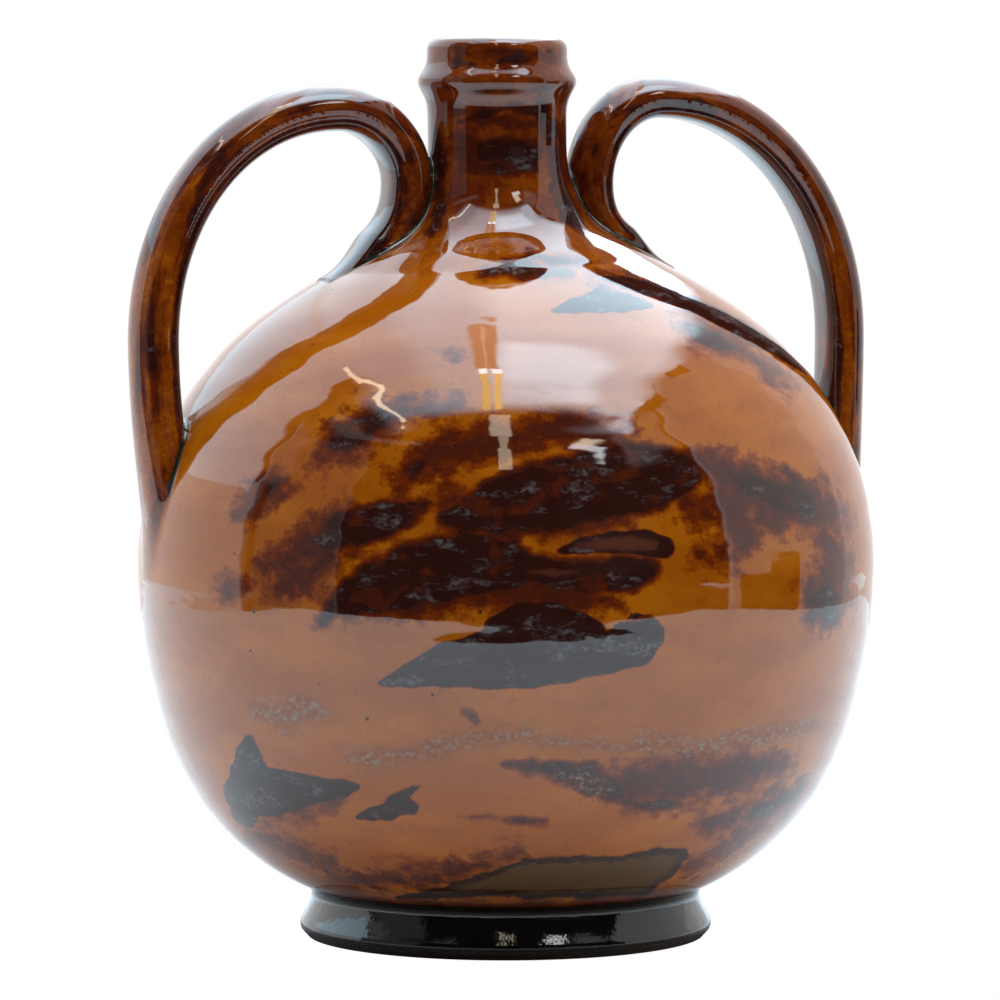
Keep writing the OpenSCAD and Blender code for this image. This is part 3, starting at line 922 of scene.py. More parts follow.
FRONT_STROKES: dict[Tone, tuple[Stroke, ...]] = {
    Tone.TREACLE: (
        # Blots over the main mass, to the upper left
        ((-44, 125.5, 2.4), (-41, 128, 4), (-36.5, 130.5, 3.4), (-31, 133, 2), (-27, 134, 0.6)),
        ((-26, 118, 1.8), (-24, 118.5, 2.2), (-21.5, 121, 1.2)),
        ((-61, 114.2, 0.8), (-59, 116, 1.4)),
        # Streak on the upper left, and its tails
        ((-42, 103.8, 5.2), (-37.6, 104.9, 5.3), (-32, 106.8, 4.6), (-27, 108.2, 3.6),
         (-21, 110.2, 2), (-17.5, 110.8, 0.6)),
        ((-42, 103.6, 4.6), (-47, 101.6, 3.6), (-51, 98.8, 1.6)),
        ((-45, 96.5, 2.2), (-50, 93.4, 1.6)),
        # Long wedge that points to the lower left
        ((-50, 78, 0.4), (-46.5, 80.6, 1.4), (-43.5, 84, 2.4), (-38.6, 87, 5.2),
         (-31.8, 90, 7.2), (-25, 92.2, 8), (-17, 93.8, 8.4), (-9, 95.2, 8.4), (0, 95, 6.4),
         (8, 93.6, 4.4), (15, 92.4, 4.2), (22, 92.4, 5), (30, 92.8, 5.2), (36, 93.6, 3.8)),
        # Upper band
        ((-15, 107.6, 3), (-9, 108.6, 4.4), (-3, 109.6, 7), (2, 110.6, 8.8), (8, 112.2, 9.4),
         (15, 114, 9.4), (23, 115.6, 9.3), (32, 117, 9.4), (39, 117.6, 8.2), (45, 118, 5.4),
         (49, 117.6, 2.4)),
        ((56, 118.6, 1.6), (62, 116.4, 3), (70, 113, 4), (76, 110.4, 4.2), (80, 108.6, 2.2)),
        ((71.6, 119.6, 1.4), (74.6, 116.6, 2.4)),
        # Patch on the right limb
        ((78.4, 91, 0.6), (79.4, 86, 2.4), (82.6, 88, 3.4), (83.4, 82.6, 2.4), (79.6, 82, 1.6)),
        # Streaks at the neck's base
        ((-6.5, 169.8, 0.9), (-1, 171.4, 1.8), (5, 171.8, 2), (10, 170.3, 1.2), (17, 169.5, 0.3)),
        ((-1, 173.2, 0.7), (6, 174.6, 0.9), (12, 173.2, 0.5), (19, 173, 0.7), (26, 172.8, 0.3)),
        # Band on the lower right
        ((0, 43.6, 0.8), (7, 42.9, 1.8), (15, 41.6, 3), (22, 39.8, 4.2), (27, 37, 3.4),
         (30, 34.5, 1.4)),
        ((28, 34.6, 0.8), (36, 33.2, 1), (45, 33.6, 0.8)),
        ((54, 28.4, 0.2), (60, 29, 0.6), (66, 31.6, 1.6), (73, 35, 2)),
        ((-12, 30.2, 0.1), (0, 29.1, 0.15), (10, 28.5, 0.2)),
        ((-10.5, 58, 0.15), (-9, 56.6, 0.2), (-7.5, 54.4, 0.1)),
        # Neck
        ((-6.2, 203, 1.6), (0, 203.4, 2), (7, 203, 1.8)),
        ((-5.5, 199, 2.2), (1, 200, 5), (5, 199.5, 4.4)),
        ((-7, 195.6, 1), (0, 196, 2.2), (6, 196.6, 2)),
        ((-12, 208.6, 0.6), (-5, 211, 1.3), (2, 213, 1), (8, 211.5, 1.4)),
        # Dark stroke down the neck's right side: painted shade and painted reflection of the right
        # handle
        ((9, 213, 1.6), (11, 207, 2.6), (12.5, 200, 1.8), (14, 192, 2.6), (16.5, 185, 2.8),
         (20, 180, 1)),
        ((-18, 217.6, 0.5), (-8, 216.6, 0.9), (4, 216.6, 0.9), (15, 217.6, 0.5)),
        ((-12.4, 227, 1.2), (-12.2, 224, 1.6), (-8, 223.2, 0.8)),
        ((-1.5, 224.4, 0.8), (3, 225, 1.4), (7, 224.4, 0.9)),
        # Dark stroke down the neck's left side: painted shade and painted reflection of the left
        # handle
        ((-17.5, 206, 1), (-17.5, 196, 1.8), (-16.5, 187, 1.6), (-19, 180, 1)),
    ),
    Tone.SYRUP: (
        # Lens under the upper band
        ((14, 98.5, 1), (20, 100, 2), (28, 100.8, 2.8), (36, 100.8, 3.3), (40.6, 99.6, 2.8)),
        # Bottom lobe and the broad patch under it
        ((-3.5, 79.3, 2.2), (4, 81.5, 3.8), (12, 81.3, 4), (20, 80, 2.4), (24, 79, 1.2)),
        ((29, 79.2, 1.2), (35, 79, 1.5), (38.5, 80.4, 0.8)),
        ((32.5, 82.3, 0.6), (37, 81.2, 0.8), (40, 78.5, 0.8)),
        ((-32.5, 64.4, 0.7), (-25, 66.6, 3), (-15, 69.3, 5.6), (-5, 70.6, 7.4), (6, 70.8, 7.6),
         (16, 71.4, 6.4), (26, 72.4, 5.4), (34, 74, 4.6), (38.5, 76, 2.2)),
        # Streaks over the right shoulder
        ((25, 168.8, 0.8), (30, 167.8, 1.5), (36, 166.2, 1.7), (42, 164.4, 1.7), (48, 162, 1.8),
         (55, 158.8, 1.9), (60, 156, 1.9), (66, 152.3, 1.7), (72, 148.7, 1.2), (79, 144, 0.6)),
        ((46, 157, 0.6), (50, 154.4, 1.8), (54, 152.6, 1.8), (58, 151, 0.8)),
        ((12, 160.3, 0.4), (18, 161.7, 1.7), (24, 163.2, 2.7), (30, 162.4, 2), (36, 161.8, 0.8)),
        ((24, 167, 0.3), (31, 164.3, 0.5), (37, 161.8, 0.6)),
        # Triangle on the lower left
        ((-66, 50.3, 1.2), (-66.3, 46, 3), (-66, 41, 4.8), (-65.5, 36.5, 6.4), (-67, 31.5, 3.6),
         (-66, 28, 1)),
        ((-66, 36.5, 6.4), (-60, 36.2, 6), (-54, 36.4, 4.6), (-48, 36.8, 3.2), (-42, 37.2, 2.2),
         (-38.3, 37.8, 1)),
        # Arrow beside it
        ((-38.3, 30, 0.5), (-34, 30.8, 1.7), (-30, 31.4, 2.1), (-26.5, 33.2, 2.2), (-24, 32.2, 1.6)),
        ((-29.5, 34.2, 1), (-24.5, 36.8, 0.8), (-20.5, 38.9, 0.2)),
    ),
    Tone.SMOKE: (
        # Round the blots and streaks on the left
        ((-48, 121.5, 2), (-42, 126, 5), (-35, 131, 5), (-26, 135, 3), (-12, 136, 2)),
        ((-27, 117, 2.6), (-21, 123, 3), (-14, 128, 4)),
        ((-67, 109, 2.4), (-64, 112, 2.4), (-59, 116, 3)),
        ((-40, 104, 6.4), (-48, 101.6, 5.4), (-55, 97.6, 4), (-62, 95, 2.4)),
        ((-45, 96.5, 3.6), (-52, 91.6, 3.2), (-59, 88.6, 2.6)),
        ((-71, 88.6, 2.4), (-68, 90, 2.2)),
        # Over and beside the upper band
        ((-20, 118, 2.4), (-15, 124, 4), (-4, 127, 4.6), (8, 129, 4.6), (20, 130, 4), (30, 129, 2)),
        ((-17, 114, 3), (-12, 108, 4), (-10, 102, 3)),
        ((46, 121, 4), (54, 119.6, 5), (62, 115, 6.4), (70, 112, 7), (78, 110, 6.4),
         (84, 107, 4)),
        ((56, 112, 5), (60, 105, 5), (61.4, 100, 3)),
        ((66, 107, 3), (72, 106, 3)),
        ((47, 111, 4), (52, 107.6, 3)),
        ((50.6, 97.4, 1.6), (55, 98, 3), (59, 97.2, 2)),
        ((82, 103, 2.6), (84, 96, 4), (82.6, 88, 5.6), (81, 82, 3.4)),
        # Between the wedge and the lobe
        ((-44, 84, 1.4), (-36, 82.6, 1.6), (-24, 83.8, 2), (-12, 86, 2.6), (0, 87.4, 3.4),
         (10, 87.6, 4), (20, 86.6, 3.6), (28, 86, 2.4)),
        ((10, 104, 1.6), (22, 105.5, 1.6), (32, 106.4, 1.4)),
        # Band on the lower right
        ((24, 39, 4), (34, 38.4, 5.6), (46, 39.4, 5.8), (58, 41, 5), (70, 44, 3)),
        ((52, 27.6, 1.4), (60, 29, 2), (70, 33.4, 3.4), (76, 38, 2)),
        ((48, 17, 1), (54, 20.6, 1.6), (60, 25, 2), (66, 28, 1.6)),
        ((-62, 31, 2), (-54, 32, 2.4), (-44, 34, 2)),
        ((-66, 25, 1), (-56, 21.6, 1.6), (-46, 17.4, 1.4)),
        ((-46, 13.6, 1), (-32, 13.6, 1.6), (-18, 14.6, 2.4), (-6, 17, 2), (4, 20.6, 1)),
        # Shoulder and neck
        ((44, 157, 1), (50, 154.6, 3), (58, 151.6, 2.6), (66, 147, 2), (74, 141, 0.8)),
        ((24, 169.4, 1.4), (32, 168.6, 1.6)),
        ((-15, 149, 1), (-13, 148.6, 0.8)),
        ((-12, 226, 2.4), (0, 226.4, 3), (12, 226, 2.4)),
        ((-10, 205, 3), (-8, 198, 4), (-6, 192, 2)),
        ((-14, 212, 2), (-4, 209, 2.4), (6, 208, 2.4)),
        # Soft dark band down the neck's right side: painted shade and painted reflection of the
        # right handle
        ((14, 206, 3), (14, 196, 4), (16, 186, 3)),
    ),
    Tone.ASH: (
        ((-63, 57.5, 2.4), (-56, 56.5, 4), (-49, 57.6, 3)),
        ((-42, 45.4, 0.8), (-32, 44.6, 2.2), (-20, 47.6, 2), (-8, 50.2, 1.8), (5, 50, 2.2),
         (20, 48.6, 1), (34, 48.6, 1.8), (50, 48.8, 2.6), (66, 50, 3), (80, 53, 2.4)),
        ((13, 41, 1.2), (19, 39.4, 2.2), (24.5, 37, 2)),
    ),
    Tone.OLIVE: (
        ((-28, 9, 0.6), (-18, 10, 1.4), (-6, 12.4, 3), (6, 14, 5.2), (20, 14.4, 5.4),
         (34, 14.8, 5.6), (40, 17.4, 4), (46, 20.8, 1.5)),
    ),
    Tone.CORE: (
        ((18, 99.6, 0.5), (24, 100.3, 1.2), (32, 100.5, 1.7), (38, 100.2, 1.2)),
        ((6, 93.6, 0.4), (12, 93, 0.8), (18, 93.4, 0.3)),
    ),
}

BACK_STROKES: dict[Tone, tuple[Stroke, ...]] = {
    Tone.TREACLE: (
        ((-58, 118, 1), (-46, 121, 4), (-32, 124, 6.4), (-18, 125, 5), (-6, 123, 1.6)),
        ((-30, 117, 1), (-16, 115, 4), (-2, 114, 7), (14, 112, 8), (30, 113, 6), (44, 117, 3),
         (56, 121, 0.8)),
        ((-68, 93, 1.4), (-56, 94, 4), (-42, 97, 6), (-28, 99, 5), (-16, 98, 1.4)),
        ((2, 96, 1), (14, 95, 4.4), (28, 92, 6.4), (42, 91, 5), (54, 93, 1.6)),
        ((60, 104, 2), (70, 100, 4), (78, 95, 3), (82, 90, 1)),
        ((-36, 70, 1), (-24, 73, 4.6), (-10, 74, 6), (2, 71, 4), (10, 67, 1)),
        ((30, 66, 1), (42, 69, 3), (56, 71, 4), (66, 74, 1.4)),
        ((-74, 62, 1), (-66, 58, 3), (-60, 50, 3.4), (-56, 44, 1)),
        ((-20, 44, 0.8), (-8, 41, 3), (6, 39, 4.4), (20, 41, 3.4), (30, 45, 1)),
        ((40, 34, 1), (50, 37, 2.6), (60, 42, 1.2)),
        ((-48, 30, 0.8), (-40, 27, 2.2), (-30, 27, 1)),
        ((-56, 152, 0.8), (-46, 157, 1.8), (-34, 162, 2), (-20, 165, 1)),
        ((14, 158, 0.8), (26, 155, 2.2), (40, 149, 2.2), (52, 141, 1)),
        ((-8, 172, 0.8), (2, 171, 1.6), (12, 173, 0.8)),
        ((-10, 206, 1.4), (-4, 201, 3), (2, 197, 2)),
        ((8, 211, 1), (11, 203, 2), (12, 194, 1.6)),
        ((-12, 225, 1.2), (-6, 226, 1.6), (4, 224, 1), (10, 226, 1.4)),
    ),
    Tone.SMOKE: (
        ((-24, 131, 3), (-8, 129, 5), (8, 125, 5), (24, 123, 3)),
        ((-60, 118, 2), (-44, 121, 6), (-30, 125, 8)),
        ((-14, 106, 3), (0, 104, 5), (14, 102, 4), (30, 102, 3)),
        ((-70, 92, 3), (-54, 93, 6), (-38, 90, 5), (-20, 91, 3)),
        ((20, 83, 3), (34, 82, 4), (48, 84, 3)),
        ((-66, 38, 3), (-50, 36, 4), (-34, 36, 3)),
        ((26, 55, 3), (42, 54, 4), (58, 56, 3)),
        ((56, 106, 3), (68, 101, 6), (80, 93, 4)),
        ((-30, 16, 1.4), (-10, 15, 2.4), (12, 16, 2.4), (34, 18, 1.4)),
        ((-12, 227, 2.4), (0, 226, 3), (12, 227, 2.4)),
        ((-12, 204, 3), (-4, 199, 4), (6, 197, 3)),
    ),
    Tone.SYRUP: (
        ((-22, 64, 0.8), (-12, 66, 3), (0, 65, 4), (12, 62, 1.4)),
        ((48, 28, 0.8), (56, 31, 2.4), (62, 36, 1)),
    ),
    Tone.ASH: (
        ((-30, 56, 1), (-14, 57, 3), (4, 55, 3), (18, 56, 1)),
        ((44, 46, 1.4), (56, 49, 2.6), (68, 53, 1.6)),
    ),
    Tone.OLIVE: (
        ((-44, 17, 1), (-32, 13, 3), (-18, 11, 4), (-4, 11, 3), (8, 9, 1)),
    ),
    Tone.CORE: (
        ((-44, 97.4, 0.6), (-34, 98.4, 1.6), (-24, 98.4, 0.5)),
        ((18, 93, 0.5), (30, 91.6, 1.8), (40, 91, 0.6)),
    ),
}


@dataclass(frozen=True)
class Plate:
    """Streaks drawn in millimetres on an upright plane through the flask's axis.

    They are laid on to the flask along the sight lines from one point.

    Attributes:
        bearing: Bearing of that point from the front, in degrees.
        strokes: The streaks, as points across and up with half their width.
        eye: Distance of the point from the axis, in metres.
        height: Height of the point, in metres.
        reach: Distance in millimetres past which a streak no longer counts.
    """

    bearing: float
    strokes: dict[Tone, tuple[Stroke, ...]]
    eye: float = 1.467
    height: float = 0.2045
    reach: float = 12.0

    def towards(self) -> Array:
        """Level direction from the axis to the point."""
        turn = math.radians(self.bearing)
        return np.array([math.sin(turn), -math.cos(turn), 0.0])

    def drawn(self, points: Array) -> Array:
        """Where points lie on the plate, as rows of across and up in millimetres."""
        turn = math.radians(self.bearing)
        across = points @ np.array([math.cos(turn), math.sin(turn), 0.0])
        scale = self.eye / (self.eye - points @ self.towards())
        up = self.height + (points[:, 2] - self.height) * scale
        return np.stack([across * scale, up], axis=1) * 1000

    def fade(self, points: Array, normals: Array) -> Array:
        """How far streaks recede where the surface turns away, in millimetres."""
        sight = unit(self.towards() * self.eye + np.array([0, 0, self.height]) - points)
        return self.reach * (1 - ease(np.sum(normals * sight, axis=1), -0.02, 0.12))

    def distances(self, tone: Tone, points: Array, normals: Array) -> Array:
        """Distances from points to the streaks of one tone.

        Args:
            tone: The tone.
            points: Points on the flask, in metres.
            normals: The surface's normals there.

        Returns:
            Signed distances in millimetres, negative inside a streak.
        """
        drawn = self.drawn(points)
        result = np.full(len(points), self.reach)
        for stroke in self.strokes[tone]:
            low = np.min([[p[0] - p[2], p[1] - p[2]] for p in stroke], axis=0) - self.reach
            high = np.max([[p[0] + p[2], p[1] + p[2]] for p in stroke], axis=0) + self.reach
            near = np.all((drawn > low) & (drawn < high), axis=1)
            spots = drawn[near]
            far = np.full(len(spots), self.reach)
            for start, end in zip(stroke, stroke[1:]):
                first, last = np.array(start), np.array(end)
                edge = last[:2] - first[:2]
                share = np.clip((spots - first[:2]) @ edge / (edge @ edge), 0, 1)
                gap = np.linalg.norm(spots - first[:2] - share[:, None] * edge, axis=1)
                far = smooth_union(far, gap - first[2] - share * (last[2] - first[2]), 1.2)
            result[near] = np.minimum(result[near], far)
        return np.minimum(result + self.fade(points, normals), self.reach)


@dataclass(frozen=True)
class GlazePattern:
    """Everything that the glaze needs to know at each corner of a mesh."""

    plates: tuple[Plate, ...]
    neck: NeckForm
    straps: tuple[StrapForm, ...]
    foot_r: float = 0.0498

    def paint(self, skin: Skin) -> Skin:
        """Adds the glaze's fields to a skin.

        Args:
            skin: The skin, whose fields are filled in.

        Returns:
            The same skin.
        """
        points, normals = skin.points, skin.normals
        for tone in Tone:
            drawn = [plate.distances(tone, points, normals) for plate in self.plates]
            skin.fields[tone.value] = np.min(drawn, axis=0)
        body = self.neck.body.distance(points)
        strap_share = np.zeros(len(points))
        run = np.zeros(len(points))
        lane = np.zeros(len(points))
        crease = np.full(len(points), 0.02)
        for strap in self.straps:
            side = points[:, 0] * strap.side > 0.01
            vessel = self.neck.distance(points[side])
            gap, along, across = strap.section(strap.mirrored(points[side]))
            strap_share[side] = 1 - ease(gap, -0.0002, 0.0012)
            run[side] = along * strap.side
            lane[side] = across
            seam = np.maximum(np.abs(gap), np.abs(vessel))
            near = np.flatnonzero(seam < 0.004)
            spots = points[side][near]
            ways = [unit(gradient(spots, form))
                    for form in (strap.own_distance, self.neck.distance)]
            seam[near] += 0.004 * ease(np.sum(ways[0] * ways[1], axis=1), 0.6, 0.85)
            crease[side] = np.minimum(crease[side], seam)
        skin.fields["strap"] = strap_share
        skin.fields["run"] = run
        skin.fields["lane"] = lane
        foot = np.maximum(np.abs(np.hypot(points[:, 0], points[:, 1]) - self.foot_r),
                          np.abs(body))
        foot = np.where(points[:, 2] < 0.03, foot, 0.02)
        skin.fields["crease"] = np.minimum(crease, foot) * 1000
        skin.fields["inside"] = (body < -0.0015).astype(float)
        return skin


# Finishes


@dataclass
class Nodes:
    """Short ways to add shader nodes to one node tree."""

    tree: bpy.types.NodeTree

    def add(self, kind: str, **settings: object) -> bpy.types.Node:
        """Adds a node and sets its properties."""
        node = self.tree.nodes.new(kind)
        for name, value in settings.items():
            setattr(node, name, value)
        return node

    def feed(self, socket: bpy.types.NodeSocket, value: object) -> None:
        """Links a socket into another, or sets its value."""
        if isinstance(value, bpy.types.NodeSocket):
            self.tree.links.new(value, socket)
        else:
            socket.default_value = value

    def math(self, operation: str, *values: object) -> bpy.types.NodeSocket:
        """A math node's result."""
        node = self.add("ShaderNodeMath", operation=operation)
        for socket, value in zip(node.inputs, values):
            self.feed(socket, value)
        return node.outputs[0]

    def rise(self, value: object, start: object, end: object) -> bpy.types.NodeSocket:
        """A smooth rise from 0 at start to 1 at end."""
        node = self.add("ShaderNodeMapRange", interpolation_type="SMOOTHSTEP")
        self.feed(node.inputs["Value"], value)
        self.feed(node.inputs["From Min"], start)
        self.feed(node.inputs["From Max"], end)
        return node.outputs[0]

    def mix(self, share: object, first: object, second: object) -> bpy.types.NodeSocket:
        """A mix of two colours."""
        node = self.add("ShaderNodeMix", data_type="RGBA")
        shades = [socket for socket in node.inputs if socket.type == "RGBA"]
        self.feed(node.inputs["Factor"], share)
        self.feed(shades[0], first)
        self.feed(shades[1], second)
        return next(socket for socket in node.outputs if socket.type == "RGBA")

    def blend(self, share: object, first: object, second: object) -> bpy.types.NodeSocket:
        """A mix of two values."""
        node = self.add("ShaderNodeMix", data_type="FLOAT")
        self.feed(node.inputs["Factor"], share)
        self.feed(node.inputs["A"], first)
        self.feed(node.inputs["B"], second)
        return node.outputs["Result"]

    def noise(self, place: object, scale: object, detail: float = 2.0,
              roughness: float = 0.5) -> bpy.types.NodeSocket:
        """A noise value round 0.5."""
        node = self.add("ShaderNodeTexNoise")
        self.feed(node.inputs["Vector"], place)
        self.feed(node.inputs["Scale"], scale)
        self.feed(node.inputs["Detail"], detail)
        self.feed(node.inputs["Roughness"], roughness)
        return node.outputs["Fac"]

    def stretched(self, place: object, scale: tuple[float, float, float],
                  turn: tuple[float, float, float] = (0, 0, 0)) -> bpy.types.NodeSocket:
        """A place stretched along its axes."""
        node = self.add("ShaderNodeMapping")
        self.feed(node.inputs["Vector"], place)
        node.inputs["Rotation"].default_value = turn
        node.inputs["Scale"].default_value = scale
        return node.outputs["Vector"]

    def attribute(self, name: str) -> bpy.types.NodeSocket:
        """Values of a mesh attribute."""
        return self.add("ShaderNodeAttribute", attribute_name=name).outputs["Fac"]

    def sight(self, lit: bpy.types.NodeSocket, seen: bpy.types.NodeSocket,
              output: bpy.types.Node) -> None:
        """Shows the camera one shader, and lights the flask by another.

        Args:
            lit: Shader for all rays but the camera's.
            seen: Shader for the camera's rays.
            output: The tree's output node.
        """
        both = self.add("ShaderNodeMixShader")
        rays = self.add("ShaderNodeLightPath")
        self.feed(both.inputs["Fac"], rays.outputs["Is Camera Ray"])
        self.feed(both.inputs[1], lit)
        self.feed(both.inputs[2], seen)
        self.feed(output.inputs["Surface"], both.outputs[0])

    def group(self, group: bpy.types.NodeTree, **values: object) -> bpy.types.Node:
        """Places a node group, with underscores in its inputs' names as spaces."""
        node = self.add("ShaderNodeGroup", node_tree=group)
        for name, value in values.items():
            self.feed(node.inputs[name.replace("_", " ").capitalize()], value)
        return node


def new_group(name: str, inputs: dict[str, str], outputs: dict[str, str]
              ) -> tuple[bpy.types.NodeTree, Nodes, bpy.types.Node, bpy.types.Node]:
    """Makes an empty shader node group.

    Args:
        name: Name of the group.
        inputs: Kinds of its input sockets by name.
        outputs: Kinds of its output sockets by name.

    Returns:
        The group, a helper for its nodes, and its input and output nodes.
    """
    tree = bpy.data.node_groups.new(name, "ShaderNodeTree")
    for title, kind in inputs.items():
        tree.interface.new_socket(title, in_out="INPUT", socket_type=f"NodeSocket{kind}")
    for title, kind in outputs.items():
        tree.interface.new_socket(title, in_out="OUTPUT", socket_type=f"NodeSocket{kind}")
    nodes = Nodes(tree)
    return tree, nodes, nodes.add("NodeGroupInput"), nodes.add("NodeGroupOutput")


def streak_depth() -> bpy.types.NodeTree:
    """Group that turns a distance to the streaks into a depth of iron, from 0 to 1."""
    tree, nodes, given, out = new_group(
        "streak_depth",
        {"Place": "Vector", "Distance": "Float", "Wander": "Float", "Clots": "Float",
         "Grain": "Float", "Edge": "Float"},
        {"Depth": "Float"})
    flow = nodes.stretched(given.outputs["Place"], (1, 1, 1.5))
    moved = given.outputs["Distance"]
    for name, scale, detail in (("Wander", 75, 1.0), ("Clots", 230, 1.0), ("Grain", 700, 2.0)):
        sway = nodes.math("SUBTRACT", nodes.noise(flow, scale, detail, 0.5), 0.5)
        moved = nodes.math("MULTIPLY_ADD", sway, given.outputs[name], moved)
    inner = nodes.math("MULTIPLY", given.outputs["Edge"], -1.0)
    nodes.feed(out.inputs["Depth"], nodes.rise(moved, given.outputs["Edge"], inner))
    return tree


def strap_depth() -> bpy.types.NodeTree:
    """Group that gives the depth of iron along a strap, from 0 to 1."""
    tree, nodes, given, out = new_group(
        "strap_depth",
        {"Run": "Float", "Lane": "Float", "Strap": "Float", "Place": "Vector"},
        {"Depth": "Float"})
    spot = nodes.add("ShaderNodeCombineXYZ")
    nodes.feed(spot.inputs["X"], nodes.math("MULTIPLY", given.outputs["Run"], 3.4))
    nodes.feed(spot.inputs["Y"], nodes.math("MULTIPLY", given.outputs["Lane"], 4.6))
    blots = nodes.noise(spot.outputs[0], 1.0, 3, 0.55)
    fine = nodes.noise(given.outputs["Place"], 420, 3, 0.6)
    level = nodes.math("MULTIPLY_ADD", nodes.math("SUBTRACT", fine, 0.5), 0.16, blots)
    # Darker towards the inner face, which faces the neck.
    inner = nodes.rise(given.outputs["Lane"], 0.5, 0.62)
    level = nodes.math("MULTIPLY_ADD", inner, 0.13, level)
    depth = nodes.math("MULTIPLY_ADD", nodes.rise(level, 0.42, 0.7), 0.86, 0.14)
    nodes.feed(out.inputs["Depth"], nodes.math("MULTIPLY", depth, given.outputs["Strap"]))
    return tree


def crystal_dots() -> bpy.types.NodeTree:
    """Group that scatters dark round dots and the pale crystals in their middles."""
    tree, nodes, given, out = new_group(
        "crystal_dots", {"Place": "Vector", "Share": "Float"},
        {"Dot": "Float", "Crystal": "Float"})
    cells = nodes.add("ShaderNodeTexVoronoi", feature="F1")
    nodes.feed(cells.inputs["Vector"], given.outputs["Place"])
    cells.inputs["Scale"].default_value = 300.0
    tint = nodes.add("ShaderNodeSeparateColor")
    nodes.feed(tint.inputs[0], cells.outputs["Color"])
    chosen = nodes.math("LESS_THAN", tint.outputs[0], given.outputs["Share"])
    size = nodes.math("MULTIPLY_ADD", tint.outputs[1], 0.16, 0.06)
    dot = nodes.rise(cells.outputs["Distance"], size, nodes.math("MULTIPLY", size, 0.5))
    middle = nodes.math("MULTIPLY", size, 0.34)
    crystal = nodes.rise(cells.outputs["Distance"], middle, nodes.math("MULTIPLY", size, 0.1))
    crystal = nodes.math("MULTIPLY", crystal, nodes.math("GREATER_THAN", tint.outputs[2], 0.45))
    nodes.feed(out.inputs["Dot"], nodes.math("MULTIPLY", chosen, dot))
    nodes.feed(out.inputs["Crystal"], nodes.math("MULTIPLY", chosen, crystal))
    return tree


